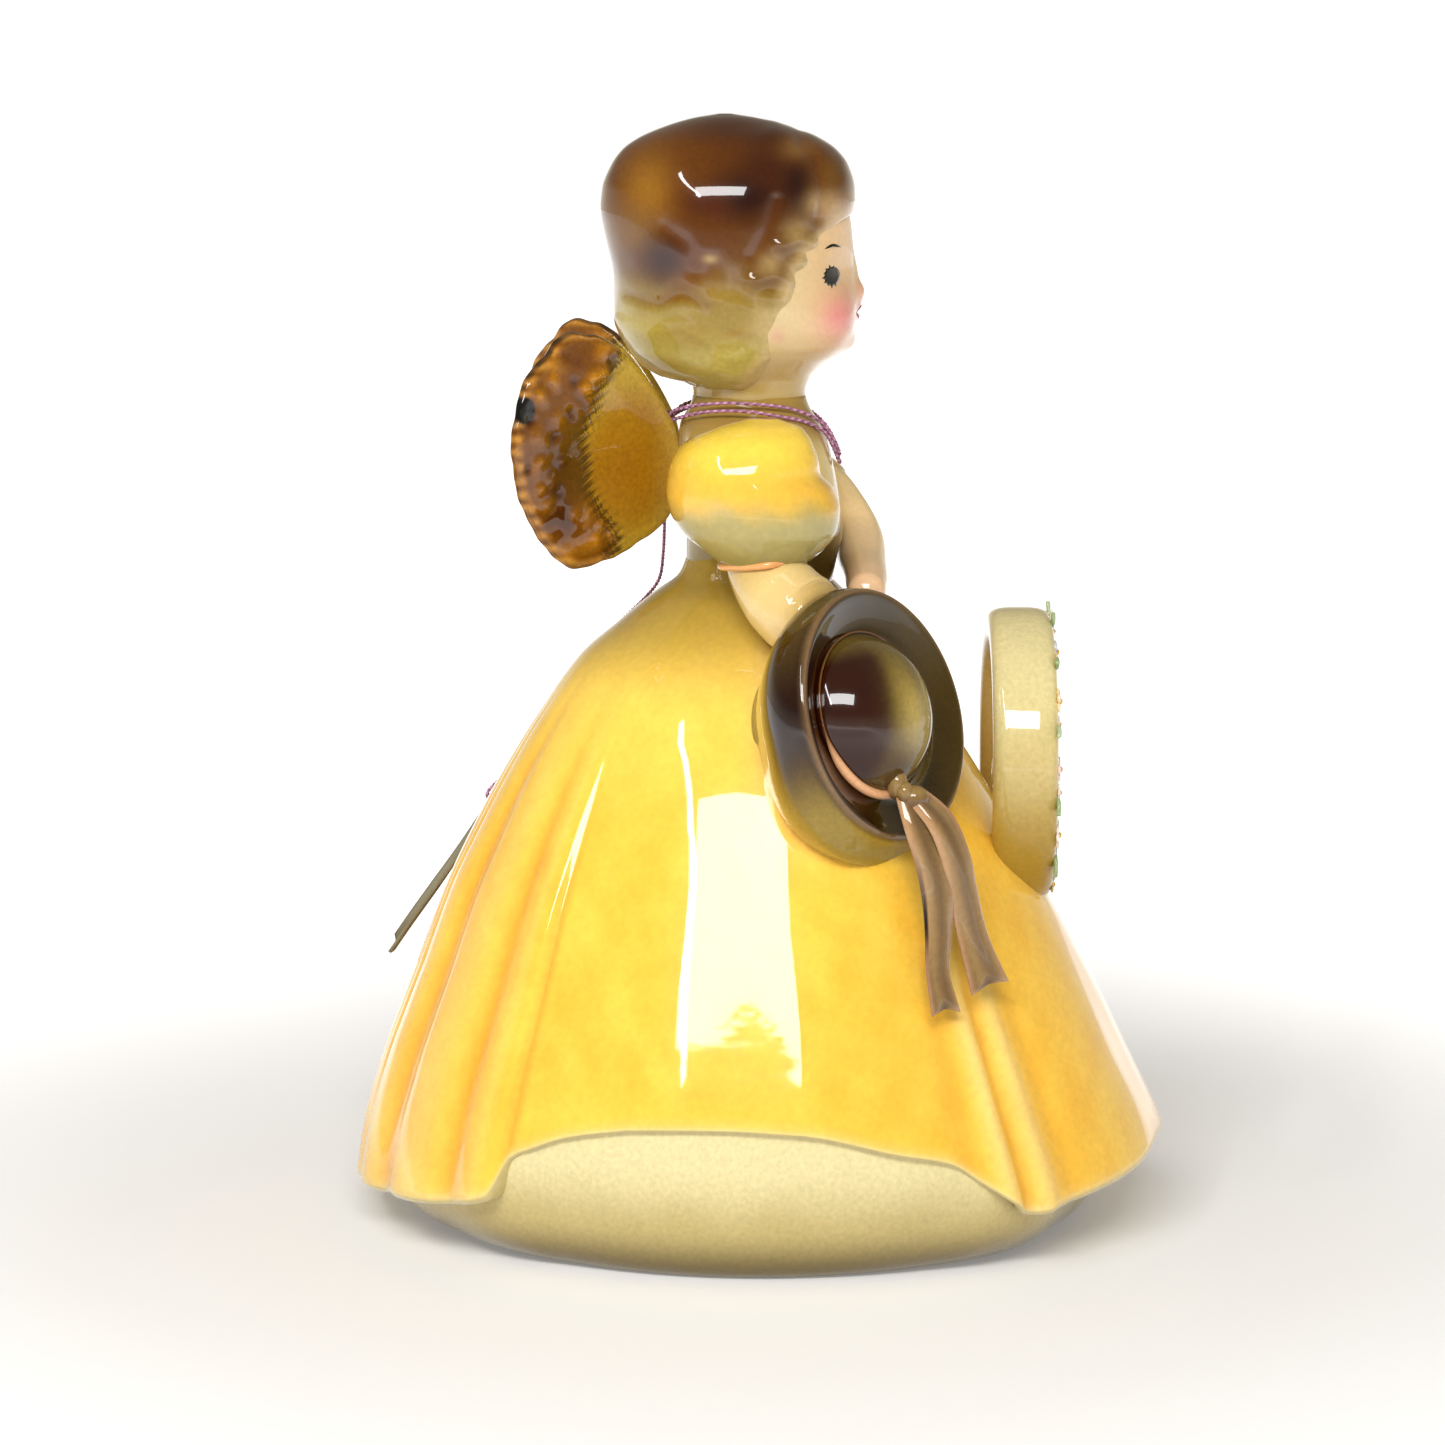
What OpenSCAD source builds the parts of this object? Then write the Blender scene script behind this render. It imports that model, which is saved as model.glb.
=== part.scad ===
// Glazed porcelain figurine: a small winged girl in a long gown, with a sun hat on one arm,
// a flower ring standing in front of her and a paper tag on a cord round her neck.
// She faces -Y, her left hand is on +X, and Z = 0 is the table she stands on.

/* [Gown] */
// Height of the waist above the table
waist_z = 77; // [75:0.5:79]
// Half width of the waist
waist_r = 7.4; // [6.5:0.1:8]
// How far the hem reaches forward
hem_front = 47.5; // [46:0.5:49]
// How far the hem reaches back
hem_back = 45.5; // [44:0.5:47]
// How far the hem reaches to each side
hem_side = 43.5; // [42:0.5:45]
// Height of the hem at the folds between its panels
hem_z = 8; // [7:0.5:9]
// Rise of the hem over each side, where the petticoat shows
hem_arch = 9.5; // [7:0.5:11]
// Thickness of the cast wall at the waist
wall = 2.4; // [2:0.1:2.8]

/* [Petticoat] */
// Radius of the foot ring
foot_r = 33.5; // [31:0.5:35]
// Largest radius of the petticoat
petticoat_r = 39.6; // [38.6:0.2:40]
// Radius of the vent hole in the underside
vent_r = 3; // [2:0.5:5]

/* [Head] */
// Height of the crown of the hair
top_z = 127; // [126:0.5:128]
// Radius of the neck
neck_r = 6.5; // [6:0.1:7]

/* [Wings] */
// Height of a wing
wing_h = 27.5; // [24:0.5:29]
// Width of a wing
wing_w = 22; // [20:0.5:24]
// Thickness of a wing
wing_t = 2.4; // [2:0.1:3]
// Angle between a wing and the plane that divides the figure
wing_sweep = 35; // [30:1:40]

/* [Hat] */
// Radius of the brim
brim_r = 15; // [14:0.5:16]
// Radius of the crown
crown_r = 8.6; // [8:0.1:9]
// Radius of the band's bead
band_bead_r = 0.6; // [0.4:0.1:0.8]

/* [Flower ring] */
// Outer radius of the ring
ring_r = 17; // [16:0.5:18]
// Thickness of the ring from its outside to its hole
ring_wall = 3.9; // [3.5:0.1:4.5]
// Depth of the ring from back to front
ring_depth = 8; // [7:0.5:8.5]
// Number of flowers round the ring
flower_count = 11; // [9:1:12]

/* [Cord and tag] */
// Diameter of the cord
cord_d = 0.5; // [0.4:0.1:0.6]
// Length of the paper tag
tag_l = 23; // [20:1:24]
// Width of the paper tag
tag_w = 11; // [10:1:14]
// Thickness of the paper tag
tag_t = 0.4; // [0.3:0.1:0.5]

/* [Hidden] */
$fn = 48;

// Colours of the glaze
cream = "#E8DAA5";
gold_yellow = "#F8C854";
skin = "#F3DFBE";
hair_brown = "#7A4A12";
wing_gold = "#A8701C";
straw = "#75633A";
taupe = "#A08464";
peach = "#E0A868";
mauve = "#8A6070";
dark_red = "#5A0C0C";

// Gown: share of the way out from the waist to the hem, [depth below the waist, share]
front_flare = [
  [0, 0], [2.5, 0.02], [5, 0.08], [8, 0.155], [12, 0.24], [19, 0.365], [27, 0.485],
  [37, 0.625], [47, 0.745], [57, 0.86], [67, 0.97], [72, 1]
];
back_flare = [
  [0, 0], [2.5, 0.035], [5, 0.13], [8, 0.22], [12, 0.34], [19, 0.465], [27, 0.585],
  [37, 0.71], [47, 0.805], [57, 0.905], [67, 0.98], [72, 1]
];
side_flare = [
  [0, 0], [2.5, 0.03], [5, 0.1], [8, 0.19], [12, 0.3], [19, 0.44], [27, 0.575],
  [37, 0.715], [47, 0.83], [57, 0.925], [67, 0.985], [72, 1]
];
arch_half_deg = 38;
back_hem_drop = 3.4;
front_hem_rise = 2.9;
gown_steps = 72;
gown_rings = 20;
ring_crowding = 1.4;
lining_rings = 6;
panel_proud = 0.9;
lining_r = petticoat_r - 1;

// The head and the body: [height, front, back, half width] of each level, in order
bodice_levels = [
  [73, -6.2, 8.8, 8.2], [76.5, -5.4, 8.2, 7.4], [82, -7, 8.6, 9.6], [87.5, -8.6, 8.8, 11.5],
  [90.5, -8, 9, 11], [93, -6.8, 8.6, 8.4], [94.5, -5.9, 7.9, 6.9]
];
head_levels = [
  [93, -5.6, 7.6, 6.5], [96.5, -6, 7.8, 6.6], [98.6, -8, 8.6, 8], [100.5, -10.4, 10.4, 10],
  [103.5, -11.3, 12, 11.5], [108, -11.2, 13.5, 12], [112.5, -10.4, 14, 11.8],
  [116.5, -9.3, 13.6, 10.8], [120, -6.8, 11.6, 8.4], [122.4, -2.5, 8, 4.4]
];
hair_levels = [
  [96.3, 3.6, 9, 4.5], [98.3, -2, 13.2, 9.4], [101, -5, 15.2, 11.6], [105, -6, 16.4, 12.6],
  [110, -8, 16.8, 13], [114, -10.4, 17.6, 13], [118, -10.8, 17.8, 12.4], [121, -10.2, 16.8, 11],
  [123.5, -7.6, 14.4, 8.8], [125.6, -2.8, 10.6, 6], [top_z, 2.6, 7, 2]
];
level_steps = 36;
face_y = -12.5;
face_z = 105.5;
face_r = 9.5;

// Arms
shoulder_x = 13;
sleeve_puff_r = 8.3;
cuff_r = 4.3;
cuff_bead_r = 0.5;
right_cuff_at = [-15, -1.6, 77];
left_cuff_at = [13, -7, 80];
right_wrist = [-18, -3.6, 73.2];
right_hand = [-21.5, -7.4, 71.6];
left_elbow = [10.5, -10.6, 79];
left_wrist = [2, -12.6, 76.4];
left_hand = [-14, -12.8, 73.4];

// Wings
wing_root = [4.5, 9.4, 90];
wing_steps = 60;
wing_lobes = 15;
lobe_depth = 0.5;

// Hat: its middle, its lean back from upright and its turn round from straight ahead
hat_at = [-25, -13.9, 61.7];
hat_lean = 74;
hat_turn = 231.7;
brim_depth = 13;
crown_h = 7.5;

// Ribbon on the hat
ribbon_at = [-28.8, -16, 53.3];
ribbon_t = 1.6;

// Flower ring
ring_y = -30.4;
ring_hole_r = ring_r - ring_wall;
ring_z = 70.4 - ring_r;
ring_face_y = ring_y - ring_depth / 2;
ring_mid_r = ring_r - ring_wall / 2;
gown_front_slope = 29;
ring_cut_at = [0, -23.6, 53.8];
ring_cut_size = 80;
petal_r = 0.85;
petals = 5;
bloom_h = 1.2;
bloom_skip = 2;

// Cord: it is knotted behind the neck, goes twice round it and dips over the chest
knot_at = [0.6, 10.2, 92.4];
knot_r = 0.85;
neck_route = [
  [0, 10, 92.6], [-2.6, 9.4, 93.4], [-5.6, 7, 94.2], [-7.4, 3.4, 94.6], [-7.5, -0.6, 94.4],
  [-6.2, -4, 93.8], [-4.4, -6.6, 92.6], [-2.6, -8.4, 90.6], [-0.6, -9.4, 88.2], [1.6, -9, 89.4],
  [3.6, -7.6, 91.6], [5.8, -5, 93.4], [7.4, -1.4, 94.2], [7.6, 2.6, 94.4], [6.2, 6.4, 94],
  [3.2, 8.8, 93.4], [-0.8, 9.8, 92.2], [-4.4, 8.6, 92.8], [-7.4, 5.8, 93.6], [-8.8, 1.8, 93.8],
  [-8.4, -2.2, 93.2], [-6.4, -5.4, 92.4], [-4.2, -7.8, 90.8], [-1.4, -9.3, 87.6],
  [2, -9.2, 87.8], [5, -7.2, 91.4], [7.6, -3.8, 93.2], [8.8, 0.4, 93.8], [7.8, 4.6, 93.6],
  [5, 8.2, 93], [1.2, 9.9, 92.4]
];
tag_route = [
  [0.6, 10.4, 90.75], [1, 10.5, 88], [2, 10.6, 84], [3.3, 10.7, 80], [5, 10.9, 76],
  [6.4, 11.4, 73], [7.7, 13.1, 70.6], [9, 16.3, 67.4], [10.3, 19.9, 63.4], [11.3, 22.9, 59],
  [12, 25.6, 54.6], [12.5, 28, 50.6], [12.9, 30.6, 48.2], [13, 32, 46.6], [13, 31.5, 46.1]
];
cord_sides = 8;

// Tag: its hole, its lean out from upright and the margin of paper above the hole
tag_hole_at = [13, 31.3, 46];
tag_hole_r = 0.9;
tag_lean = 33.3;
tag_margin = 1.8;
tag_shoulder = 3;

// Distance of the gown's surface from the axis, between the waist and the hem
function swell(z, waist, hem, flare) = waist + (hem - waist) * lookup(waist_z - z, flare);

// Angle from the nearest side of the figure, 0 at the sides and 90 at the front and back
function off_side(a) = abs(asin(sin(a)));

// Height of the hem at each angle
function hem_height(a) =
  let (d = off_side(a))
  hem_z
  + (d < arch_half_deg ? hem_arch * cos(90 * d / arch_half_deg) : 0)
  + (sin(a) > 0 ? -back_hem_drop : front_hem_rise) * pow(max(0, abs(sin(a)) - 0.6) / 0.4, 1);

// Front and back panels stand a little proud of the sides
function proud(a, z) =
  let (d = off_side(a), depth = max(0, waist_z - z) / waist_z)
  panel_proud * depth * min(1, max(0, (d - arch_half_deg + 3) / 6));

function gown_point(a, z) =
  let (
    rear = sin(a) > 0,
    fore = swell(z, waist_r, rear ? hem_back : hem_front, rear ? back_flare : front_flare),
    out = proud(a, z)
  )
  [(swell(z, waist_r, hem_side, side_flare) + out) * cos(a), (fore + out) * sin(a), z];

// Inside of the gown, which closes on the petticoat at the hem
function lining_point(a, z) =
  let (
    flare = sin(a) > 0 ? back_flare : front_flare,
    side = swell(z, waist_r - wall, lining_r, side_flare),
    fore = swell(z, waist_r - wall, lining_r, flare)
  )
  [side * cos(a), fore * sin(a), z];

function ring_angle(i) = 360 * i / gown_steps;
function drop(a, share, top) = top + (hem_height(a) - top) * share;
function gown_ring(share) =
  [for (i = [0:gown_steps - 1]) let (a = ring_angle(i)) gown_point(a, drop(a, share, waist_z))];
function lining_ring(share) =
  [for (i = [0:gown_steps - 1])
    let (a = ring_angle(i)) lining_point(a, drop(a, share, waist_z - 1.5 * wall))];

// Faces between successive rings of points, with both ends closed
function ring_faces(rings, n) = concat(
  [[for (i = [0:n - 1]) i]],
  [for (r = [0:rings - 2], i = [0:n - 1], half = [0, 1])
    let (a = r * n + i, b = r * n + (i + 1) % n)
    half == 0 ? [a, a + n, b] : [b, a + n, b + n]],
  [[for (i = [n - 1:-1:0]) (rings - 1) * n + i]]
);

// Closed body through oval levels, each [height, front, back, half width]
module level_body(levels, grow = 0) {
  n = level_steps;
  points = [
    for (l = levels, i = [0:n - 1])
      let (a = 360 * i / n, mid = (l[1] + l[2]) / 2, half = (l[2] - l[1]) / 2)
      [(l[3] + grow) * cos(a), mid + (half + grow) * sin(a), l[0]]
  ];
  polyhedron(points = points, faces = ring_faces(len(levels), n));
}

function unit(v) = v / norm(v);

// Round tube of the cord's diameter along a route
module cord_tube(route) {
  last = len(route) - 1;
  points = [
    for (k = [0:last])
      let (
        along = unit(route[min(k + 1, last)] - route[max(k - 1, 0)]),
        across = unit(cross(along, abs(along[2]) < 0.8 ? [0, 0, 1] : [1, 0, 0])),
        up = cross(along, across)
      )
      for (i = [0:cord_sides - 1])
        let (a = 360 * i / cord_sides)
        route[k] + cord_d / 2 * (cos(a) * across + sin(a) * up)
  ];
  polyhedron(points = points, faces = ring_faces(last + 1, cord_sides));
}

// Limb that tapers between successive points
module limb(points, radii) {
  for (i = [0:len(points) - 2])
    hull() {
      translate(points[i]) sphere(r = radii[i], $fn = 24);
      translate(points[i + 1]) sphere(r = radii[i + 1], $fn = 24);
    }
}

module at_hat() {
  translate(hat_at) rotate([0, hat_lean, hat_turn]) children();
}

// Foot ring, hollow bowl and the side of the petticoat below the gown
module petticoat_base() {
  color(cream) rotate_extrude($fn = 96) polygon([
    [vent_r, 1.6], [foot_r - 3, 1.6], [foot_r - 2, 0], [foot_r, 0], [petticoat_r - 3.6, 1.8],
    [petticoat_r - 1, 5.5], [petticoat_r, 10], [petticoat_r - 0.6, 15], [petticoat_r - 3.4, 20],
    [petticoat_r - 5.8, 20], [petticoat_r - 3, 15], [petticoat_r - 2.4, 10],
    [petticoat_r - 3.4, 6.8], [petticoat_r - 6, 4.2], [vent_r, 4]
  ]);
}

// Hollow cast skirt, its wall closed along the hem
module skirt() {
  rings = concat(
    [for (r = [0:lining_rings]) lining_ring(r / lining_rings)],
    [for (r = [gown_rings:-1:0]) gown_ring(pow(r / gown_rings, ring_crowding))]
  );
  color(gold_yellow)
    polyhedron(points = [for (ring = rings, p = ring) p], faces = ring_faces(len(rings), gown_steps));
}

module bodice() {
  color(cream) level_body(bodice_levels);
}

module head() {
  color(skin) union() {
    level_body(head_levels);
    translate([0, -11.3, 106.6]) sphere(r = 0.9, $fn = 24);
  }
}

// Hair as a cap over the skull, open in front for the face
module hair() {
  color(hair_brown) difference() {
    level_body(hair_levels);
    level_body(head_levels, grow = -0.2);
    translate([0, face_y, face_z]) rotate([0, 90, 0]) cylinder(r = face_r, h = 40, center = true);
  }
}

module sleeve(side, cuff_at) {
  hull() {
    translate([side * shoulder_x, 1.4, 86]) sphere(r = sleeve_puff_r, $fn = 32);
    translate([side * (shoulder_x + 0.4), -1.8, 82.4]) sphere(r = sleeve_puff_r - 1.6, $fn = 32);
    translate(cuff_at) sphere(r = cuff_r - 0.2, $fn = 32);
  }
}

module right_sleeve() {
  color(gold_yellow) sleeve(-1, right_cuff_at);
}

module left_sleeve() {
  color(gold_yellow) sleeve(1, left_cuff_at);
}

module cuff(at, lean) {
  translate(at) rotate(lean) rotate_extrude() translate([cuff_r, 0]) circle(r = cuff_bead_r);
}

module right_cuff() {
  color(peach) cuff(right_cuff_at, [-18, 0, 0]);
}

module left_cuff() {
  color(peach) cuff(left_cuff_at, [-50, 0, 0]);
}

module right_arm() {
  color(skin) limb([right_cuff_at, right_wrist, right_hand], [3.8, 3.6, 3.2]);
}

module left_arm() {
  color(skin) limb([left_cuff_at, left_elbow, left_wrist, left_hand], [3.6, 3.2, 2.6, 2.4]);
}

// Fan-shaped wing with a lobed outer edge, drawn upright in its own plane
module wing_outline() {
  polygon([
    for (i = [0:wing_steps - 1])
      let (
        a = 360 * i / wing_steps,
        outer = max(0, cos(a * 0.9 - 4)),
        lobe = outer > 0.1 ? lobe_depth * cos(a * wing_lobes) : 0,
        lean = 3 * sin(a)
      )
      [wing_w / 2 * (1 + cos(a)) + lean + lobe * cos(a), (wing_h / 2 + lobe) * sin(a)]
  ]);
}

module wing() {
  translate(wing_root) rotate([90, 0, 90 - wing_sweep])
    linear_extrude(height = wing_t, center = true) wing_outline();
}

module right_wing() {
  color(wing_gold) mirror([1, 0, 0]) wing();
}

module left_wing() {
  color(wing_gold) wing();
}

// Brim with a turned-down edge, solid behind where it leans on the skirt
module hat_brim() {
  color(straw) at_hat() rotate_extrude() polygon([
    [0, -brim_depth], [brim_r - 8, -brim_depth], [brim_r - 4.5, -9.6], [brim_r - 1.4, -6.4],
    [brim_r, -4.2], [brim_r - 0.3, -1.8], [brim_r - 1.2, 0], [brim_r - 2.2, -0.1],
    [crown_r + 1.4, -0.9], [crown_r - 0.6, -0.4], [0, -0.4]
  ]);
}

// Domed crown
module hat_crown() {
  dome_r = (crown_r * crown_r + crown_h * crown_h) / (2 * crown_h);
  color(straw) at_hat() translate([0, 0, -1.2]) difference() {
    translate([0, 0, crown_h - dome_r]) sphere(r = dome_r);
    translate([0, 0, -2 * dome_r]) cube(4 * dome_r, center = true);
  }
}

module hat_band() {
  color(peach) at_hat() rotate_extrude() translate([crown_r - 0.2, 0]) circle(r = band_bead_r);
}

module ribbon_knot() {
  color(taupe) translate(ribbon_at) union() {
    sphere(r = 1.7);
    translate([-0.4, 1.2, 1.2]) sphere(r = 1.2);
  }
}

// Ribbon end that widens from the knot to a notched tip
module ribbon_tail(mid, tip, mid_w, tip_w) {
  hull() {
    translate(ribbon_at) sphere(r = 1, $fn = 24);
    translate(mid) cube([ribbon_t, mid_w, ribbon_t], center = true);
  }
  hull() {
    translate(mid) cube([ribbon_t, mid_w, ribbon_t], center = true);
    translate(tip) cube([ribbon_t, tip_w, ribbon_t], center = true);
  }
}

module ribbon_tail_back() {
  color(taupe) ribbon_tail([-30.6, -18.6, 42], [-32.8, -20.4, 30.6], 1.8, 3.2);
}

module ribbon_tail_front() {
  color(taupe) ribbon_tail([-29.6, -22, 42], [-30, -25.4, 33], 1.8, 3.4);
}

// Plain ring that stands on the front of the skirt, cut off where it meets the skirt
module flower_ring() {
  color(cream) difference() {
    translate([0, ring_y, ring_z]) rotate([90, 0, 0]) difference() {
      cylinder(r = ring_r, h = ring_depth, center = true, $fn = 96);
      cylinder(r = ring_hole_r, h = 2 * ring_depth, center = true, $fn = 96);
    }
    translate(ring_cut_at) rotate([-90 - gown_front_slope, 0, 0])
      translate([0, 0, ring_cut_size / 2]) cube(ring_cut_size, center = true);
  }
}

// Angle of each flower round the ring, from the lowest one that clears the skirt
function bloom_angle(i) = -72 + 324 * (i + 0.5) / flower_count;

module on_ring_face(a) {
  translate([ring_mid_r * cos(a), ring_face_y, ring_z + ring_mid_r * sin(a)])
    rotate([90, 0, 0]) children();
}

module ring_flowers() {
  color("#C9B7A8") for (i = [0:flower_count - 1]) on_ring_face(bloom_angle(i))
    translate([0, 0, -0.2]) linear_extrude(height = bloom_h) union() {
      circle(r = petal_r);
      for (p = [0:petals - 1])
        rotate(72 * p) translate([petal_r, 0]) circle(r = petal_r);
    }
}

module ring_leaves() {
  color("#9DAA7A") for (i = [0:flower_count - 2]) on_ring_face(bloom_angle(i + 0.5))
    rotate(bloom_angle(i + 0.5)) translate([0, 0, -0.2])
      linear_extrude(height = bloom_h / 2) intersection() {
        translate([0, 1]) circle(r = 1.8);
        translate([0, -1]) circle(r = 1.8);
      }
}

module neck_cord() {
  color(mauve) cord_tube(neck_route);
}

module cord_knot() {
  color(dark_red) translate(knot_at) union() {
    sphere(r = knot_r);
    translate([0, 0.3, -0.5]) rotate([0, 60, 0])
      rotate_extrude() translate([knot_r * 0.7, 0]) circle(r = knot_r * 0.45);
  }
}

module tag_cord() {
  color(mauve) cord_tube(tag_route);
}

// Paper tag with clipped shoulders and a hole for the cord
module paper_tag() {
  half = tag_w / 2;
  color("#D8D0BC") translate(tag_hole_at) rotate([90 + tag_lean, 0, 0])
    linear_extrude(height = tag_t, center = true) difference() {
      polygon([
        [-tag_shoulder / 2, tag_margin], [tag_shoulder / 2, tag_margin], [half, -tag_shoulder],
        [half, tag_margin - tag_l], [-half, tag_margin - tag_l], [-half, -tag_shoulder]
      ]);
      circle(r = tag_hole_r);
    }
}

petticoat_base();
skirt();
bodice();
head();
hair();
right_sleeve();
left_sleeve();
right_cuff();
left_cuff();
right_arm();
left_arm();
right_wing();
left_wing();
hat_brim();
hat_crown();
hat_band();
ribbon_knot();
ribbon_tail_back();
ribbon_tail_front();
flower_ring();
ring_flowers();
ring_leaves();
neck_cord();
cord_knot();
tag_cord();
paper_tag();
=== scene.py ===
"""Looks of a glazed porcelain figurine: a winged girl in a long gown with a sun hat on one arm,
a flower ring in front and a paper tag on a thread round the neck.

Lengths are in millimetres until a mesh is made. The figure faces -Y, with its right hand on -X.
"""

import math

import bmesh
import bpy
import numpy as np
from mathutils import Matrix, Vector
from mathutils.bvhtree import BVHTree


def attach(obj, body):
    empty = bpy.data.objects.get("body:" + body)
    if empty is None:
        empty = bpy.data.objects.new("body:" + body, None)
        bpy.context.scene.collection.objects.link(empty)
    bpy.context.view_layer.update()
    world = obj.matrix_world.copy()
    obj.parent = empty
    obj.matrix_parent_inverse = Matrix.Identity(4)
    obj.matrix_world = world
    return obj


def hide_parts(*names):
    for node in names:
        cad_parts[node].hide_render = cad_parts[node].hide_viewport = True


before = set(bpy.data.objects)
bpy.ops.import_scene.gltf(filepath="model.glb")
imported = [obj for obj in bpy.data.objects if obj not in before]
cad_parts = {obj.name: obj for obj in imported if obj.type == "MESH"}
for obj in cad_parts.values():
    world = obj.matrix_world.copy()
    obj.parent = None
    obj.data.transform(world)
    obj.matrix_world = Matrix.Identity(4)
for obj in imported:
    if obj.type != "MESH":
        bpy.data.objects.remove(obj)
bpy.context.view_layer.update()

MM = 0.001

# ---- numbers and curves


def srgb(code):
    """Linear colour from a hex code."""
    parts = np.array([int(code[i : i + 2], 16) for i in (1, 3, 5)]) / 255
    return np.where(parts <= 0.04045, parts / 12.92, ((parts + 0.055) / 1.055) ** 2.4)


def smooth(low, high, x):
    """0 below low and 1 above high, with a soft change between them."""
    t = np.clip((np.asarray(x, float) - low) / (high - low), 0, 1)
    return t * t * (3 - 2 * t)


def bell(x, middle, width):
    """1 at the middle, falling softly on both sides."""
    return np.exp(-(((np.asarray(x, float) - middle) / width) ** 2))


def patch(across, up, wide, high):
    """1 at the middle of a soft oval spot, from the distances to its middle."""
    return np.exp(-((across / wide) ** 2) - (up / high) ** 2)


def boxy(wave, power):
    """A sine or cosine raised to a power with its sign kept, for squarer rounds."""
    return np.sign(wave) * np.abs(wave) ** power


def around(count):
    """Turns evenly spaced round a circle."""
    return np.linspace(0, 2 * math.pi, count, endpoint=False)


def xyz(*parts):
    """Points from their coordinates."""
    return np.stack(np.broadcast_arrays(*parts), axis=-1)


def unit(v):
    return v / np.linalg.norm(v, axis=-1, keepdims=True)


def gone_along(line):
    """Distance along a line to each of its points."""
    return np.concatenate([[0], np.cumsum(np.linalg.norm(np.diff(line, axis=0), axis=1))])


def columns(rows, at):
    """The columns of a table at the given values of its first column, without overshoot."""
    table = np.array(sorted(rows), float)
    x, y = table[:, 0], table[:, 1:]
    step = np.diff(x)[:, None]
    rise = np.diff(y, axis=0) / step
    slope = np.zeros_like(y)
    slope[0], slope[-1] = rise[0], rise[-1]
    same = rise[1:] * rise[:-1] > 0
    both = np.where(same, rise[1:] + rise[:-1], 1)
    slope[1:-1] = np.where(same, 2 * rise[1:] * rise[:-1] / both, 0)
    at = np.clip(np.asarray(at, float), x[0], x[-1])
    k = np.clip(np.searchsorted(x, at, side="right") - 1, 0, len(x) - 2)
    t = ((at - x[k]) / step[k, 0])[..., None]
    h = step[k]
    return (
        (2 * t**3 - 3 * t**2 + 1) * y[k]
        + (t**3 - 2 * t**2 + t) * h * slope[k]
        + (3 * t**2 - 2 * t**3) * y[k + 1]
        + (t**3 - t**2) * h * slope[k + 1]
    )


def spline(points, count, closed=False):
    """Points spaced evenly along a smooth curve through the given ones."""
    p = np.array(points, float)
    before, after = (p[-1:], p[:2]) if closed else (2 * p[0] - p[1], 2 * p[-1] - p[-2])
    p = np.vstack([before, p, after])
    fine = []
    t = np.linspace(0, 1, 24, endpoint=False)[:, None]
    for a, b, c, d in zip(p[:-3], p[1:-2], p[2:-1], p[3:]):
        bend = (2 * a - 5 * b + 4 * c - d) * t**2 + (3 * b - a - 3 * c + d) * t**3
        fine.append(0.5 * (2 * b + (c - a) * t + bend))
    fine = np.vstack(fine + [p[-2:-1]])
    gone = gone_along(fine)
    at = np.linspace(0, gone[-1], count, endpoint=not closed)
    return np.column_stack([np.interp(at, gone, axis) for axis in fine.T])


def to_curve(y, z, points):
    """Distance in the YZ plane from each point to a curve."""
    near = np.full(np.shape(y), np.inf)
    for at_y, at_z in spline(points, 40):
        near = np.minimum(near, np.hypot(y - at_y, z - at_z))
    return near


# ---- colour


def blend(base, colour, share):
    """base moved towards colour by a share of 0 to 1 at each point."""
    base = np.broadcast_to(base, (*np.shape(share), 3))
    return base + (srgb(colour) - base) * np.clip(share, 0, 1)[..., None]


def painted(base, *coats):
    """A hex code or an array of colours, with coats of (colour, share) laid over it in turn."""
    tint = srgb(base) if isinstance(base, str) else base
    for colour, share in coats:
        tint = blend(tint, colour, share)
    return tint


def spots(y, z, table):
    """Coats of soft round spots, each [y, z, half width, half height, colour, share]."""
    return [
        (colour, share * patch(y - cy, z - cz, wide, high)) for cy, cz, wide, high, colour, share in table
    ]


def mottle(p, size):
    """Slow random variation over space, about -1 to 1, made of a few crossed waves."""
    turns = np.random.default_rng(3)
    total = 0
    for _ in range(26):
        way = unit(turns.normal(size=3)) * 2 * math.pi / size * turns.uniform(0.35, 2.0)
        total = total + np.sin(p @ way + turns.uniform(0, 6.28))
    return total / 7


# ---- meshes


def mesh_piece(name, points, faces, colours):
    """A smooth mesh in the row frame with its paint as a point attribute."""
    mesh = bpy.data.meshes.new(name)
    mesh.from_pydata((np.asarray(points) * MM).tolist(), [], faces)
    paint = mesh.attributes.new("glaze", "FLOAT_COLOR", "POINT")
    rgba = np.ones((len(points), 4))
    rgba[:, :3] = colours
    paint.data.foreach_set("color", rgba.ravel())
    work = bmesh.new()
    work.from_mesh(mesh)
    bmesh.ops.recalc_face_normals(work, faces=work.faces)
    work.to_mesh(mesh)
    work.free()
    mesh.polygons.foreach_set("use_smooth", [True] * len(mesh.polygons))
    obj = bpy.data.objects.new(name, mesh)
    bpy.context.scene.collection.objects.link(obj)
    return obj


def grid_faces(rows, cols):
    """Quads between the rows of a grid of points whose columns close on themselves."""
    faces = []
    for r in range(rows - 1):
        for c in range(cols):
            a, d = r * cols, (c + 1) % cols
            faces.append((a + c, a + cols + c, a + cols + d, a + d))
    return faces


def looped_faces(rows, cols):
    """grid_faces with the last row joined to the first as well."""
    last = (rows - 1) * cols
    closing = [(last + c, c, (c + 1) % cols, last + (c + 1) % cols) for c in range(cols)]
    return grid_faces(rows, cols) + closing


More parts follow.
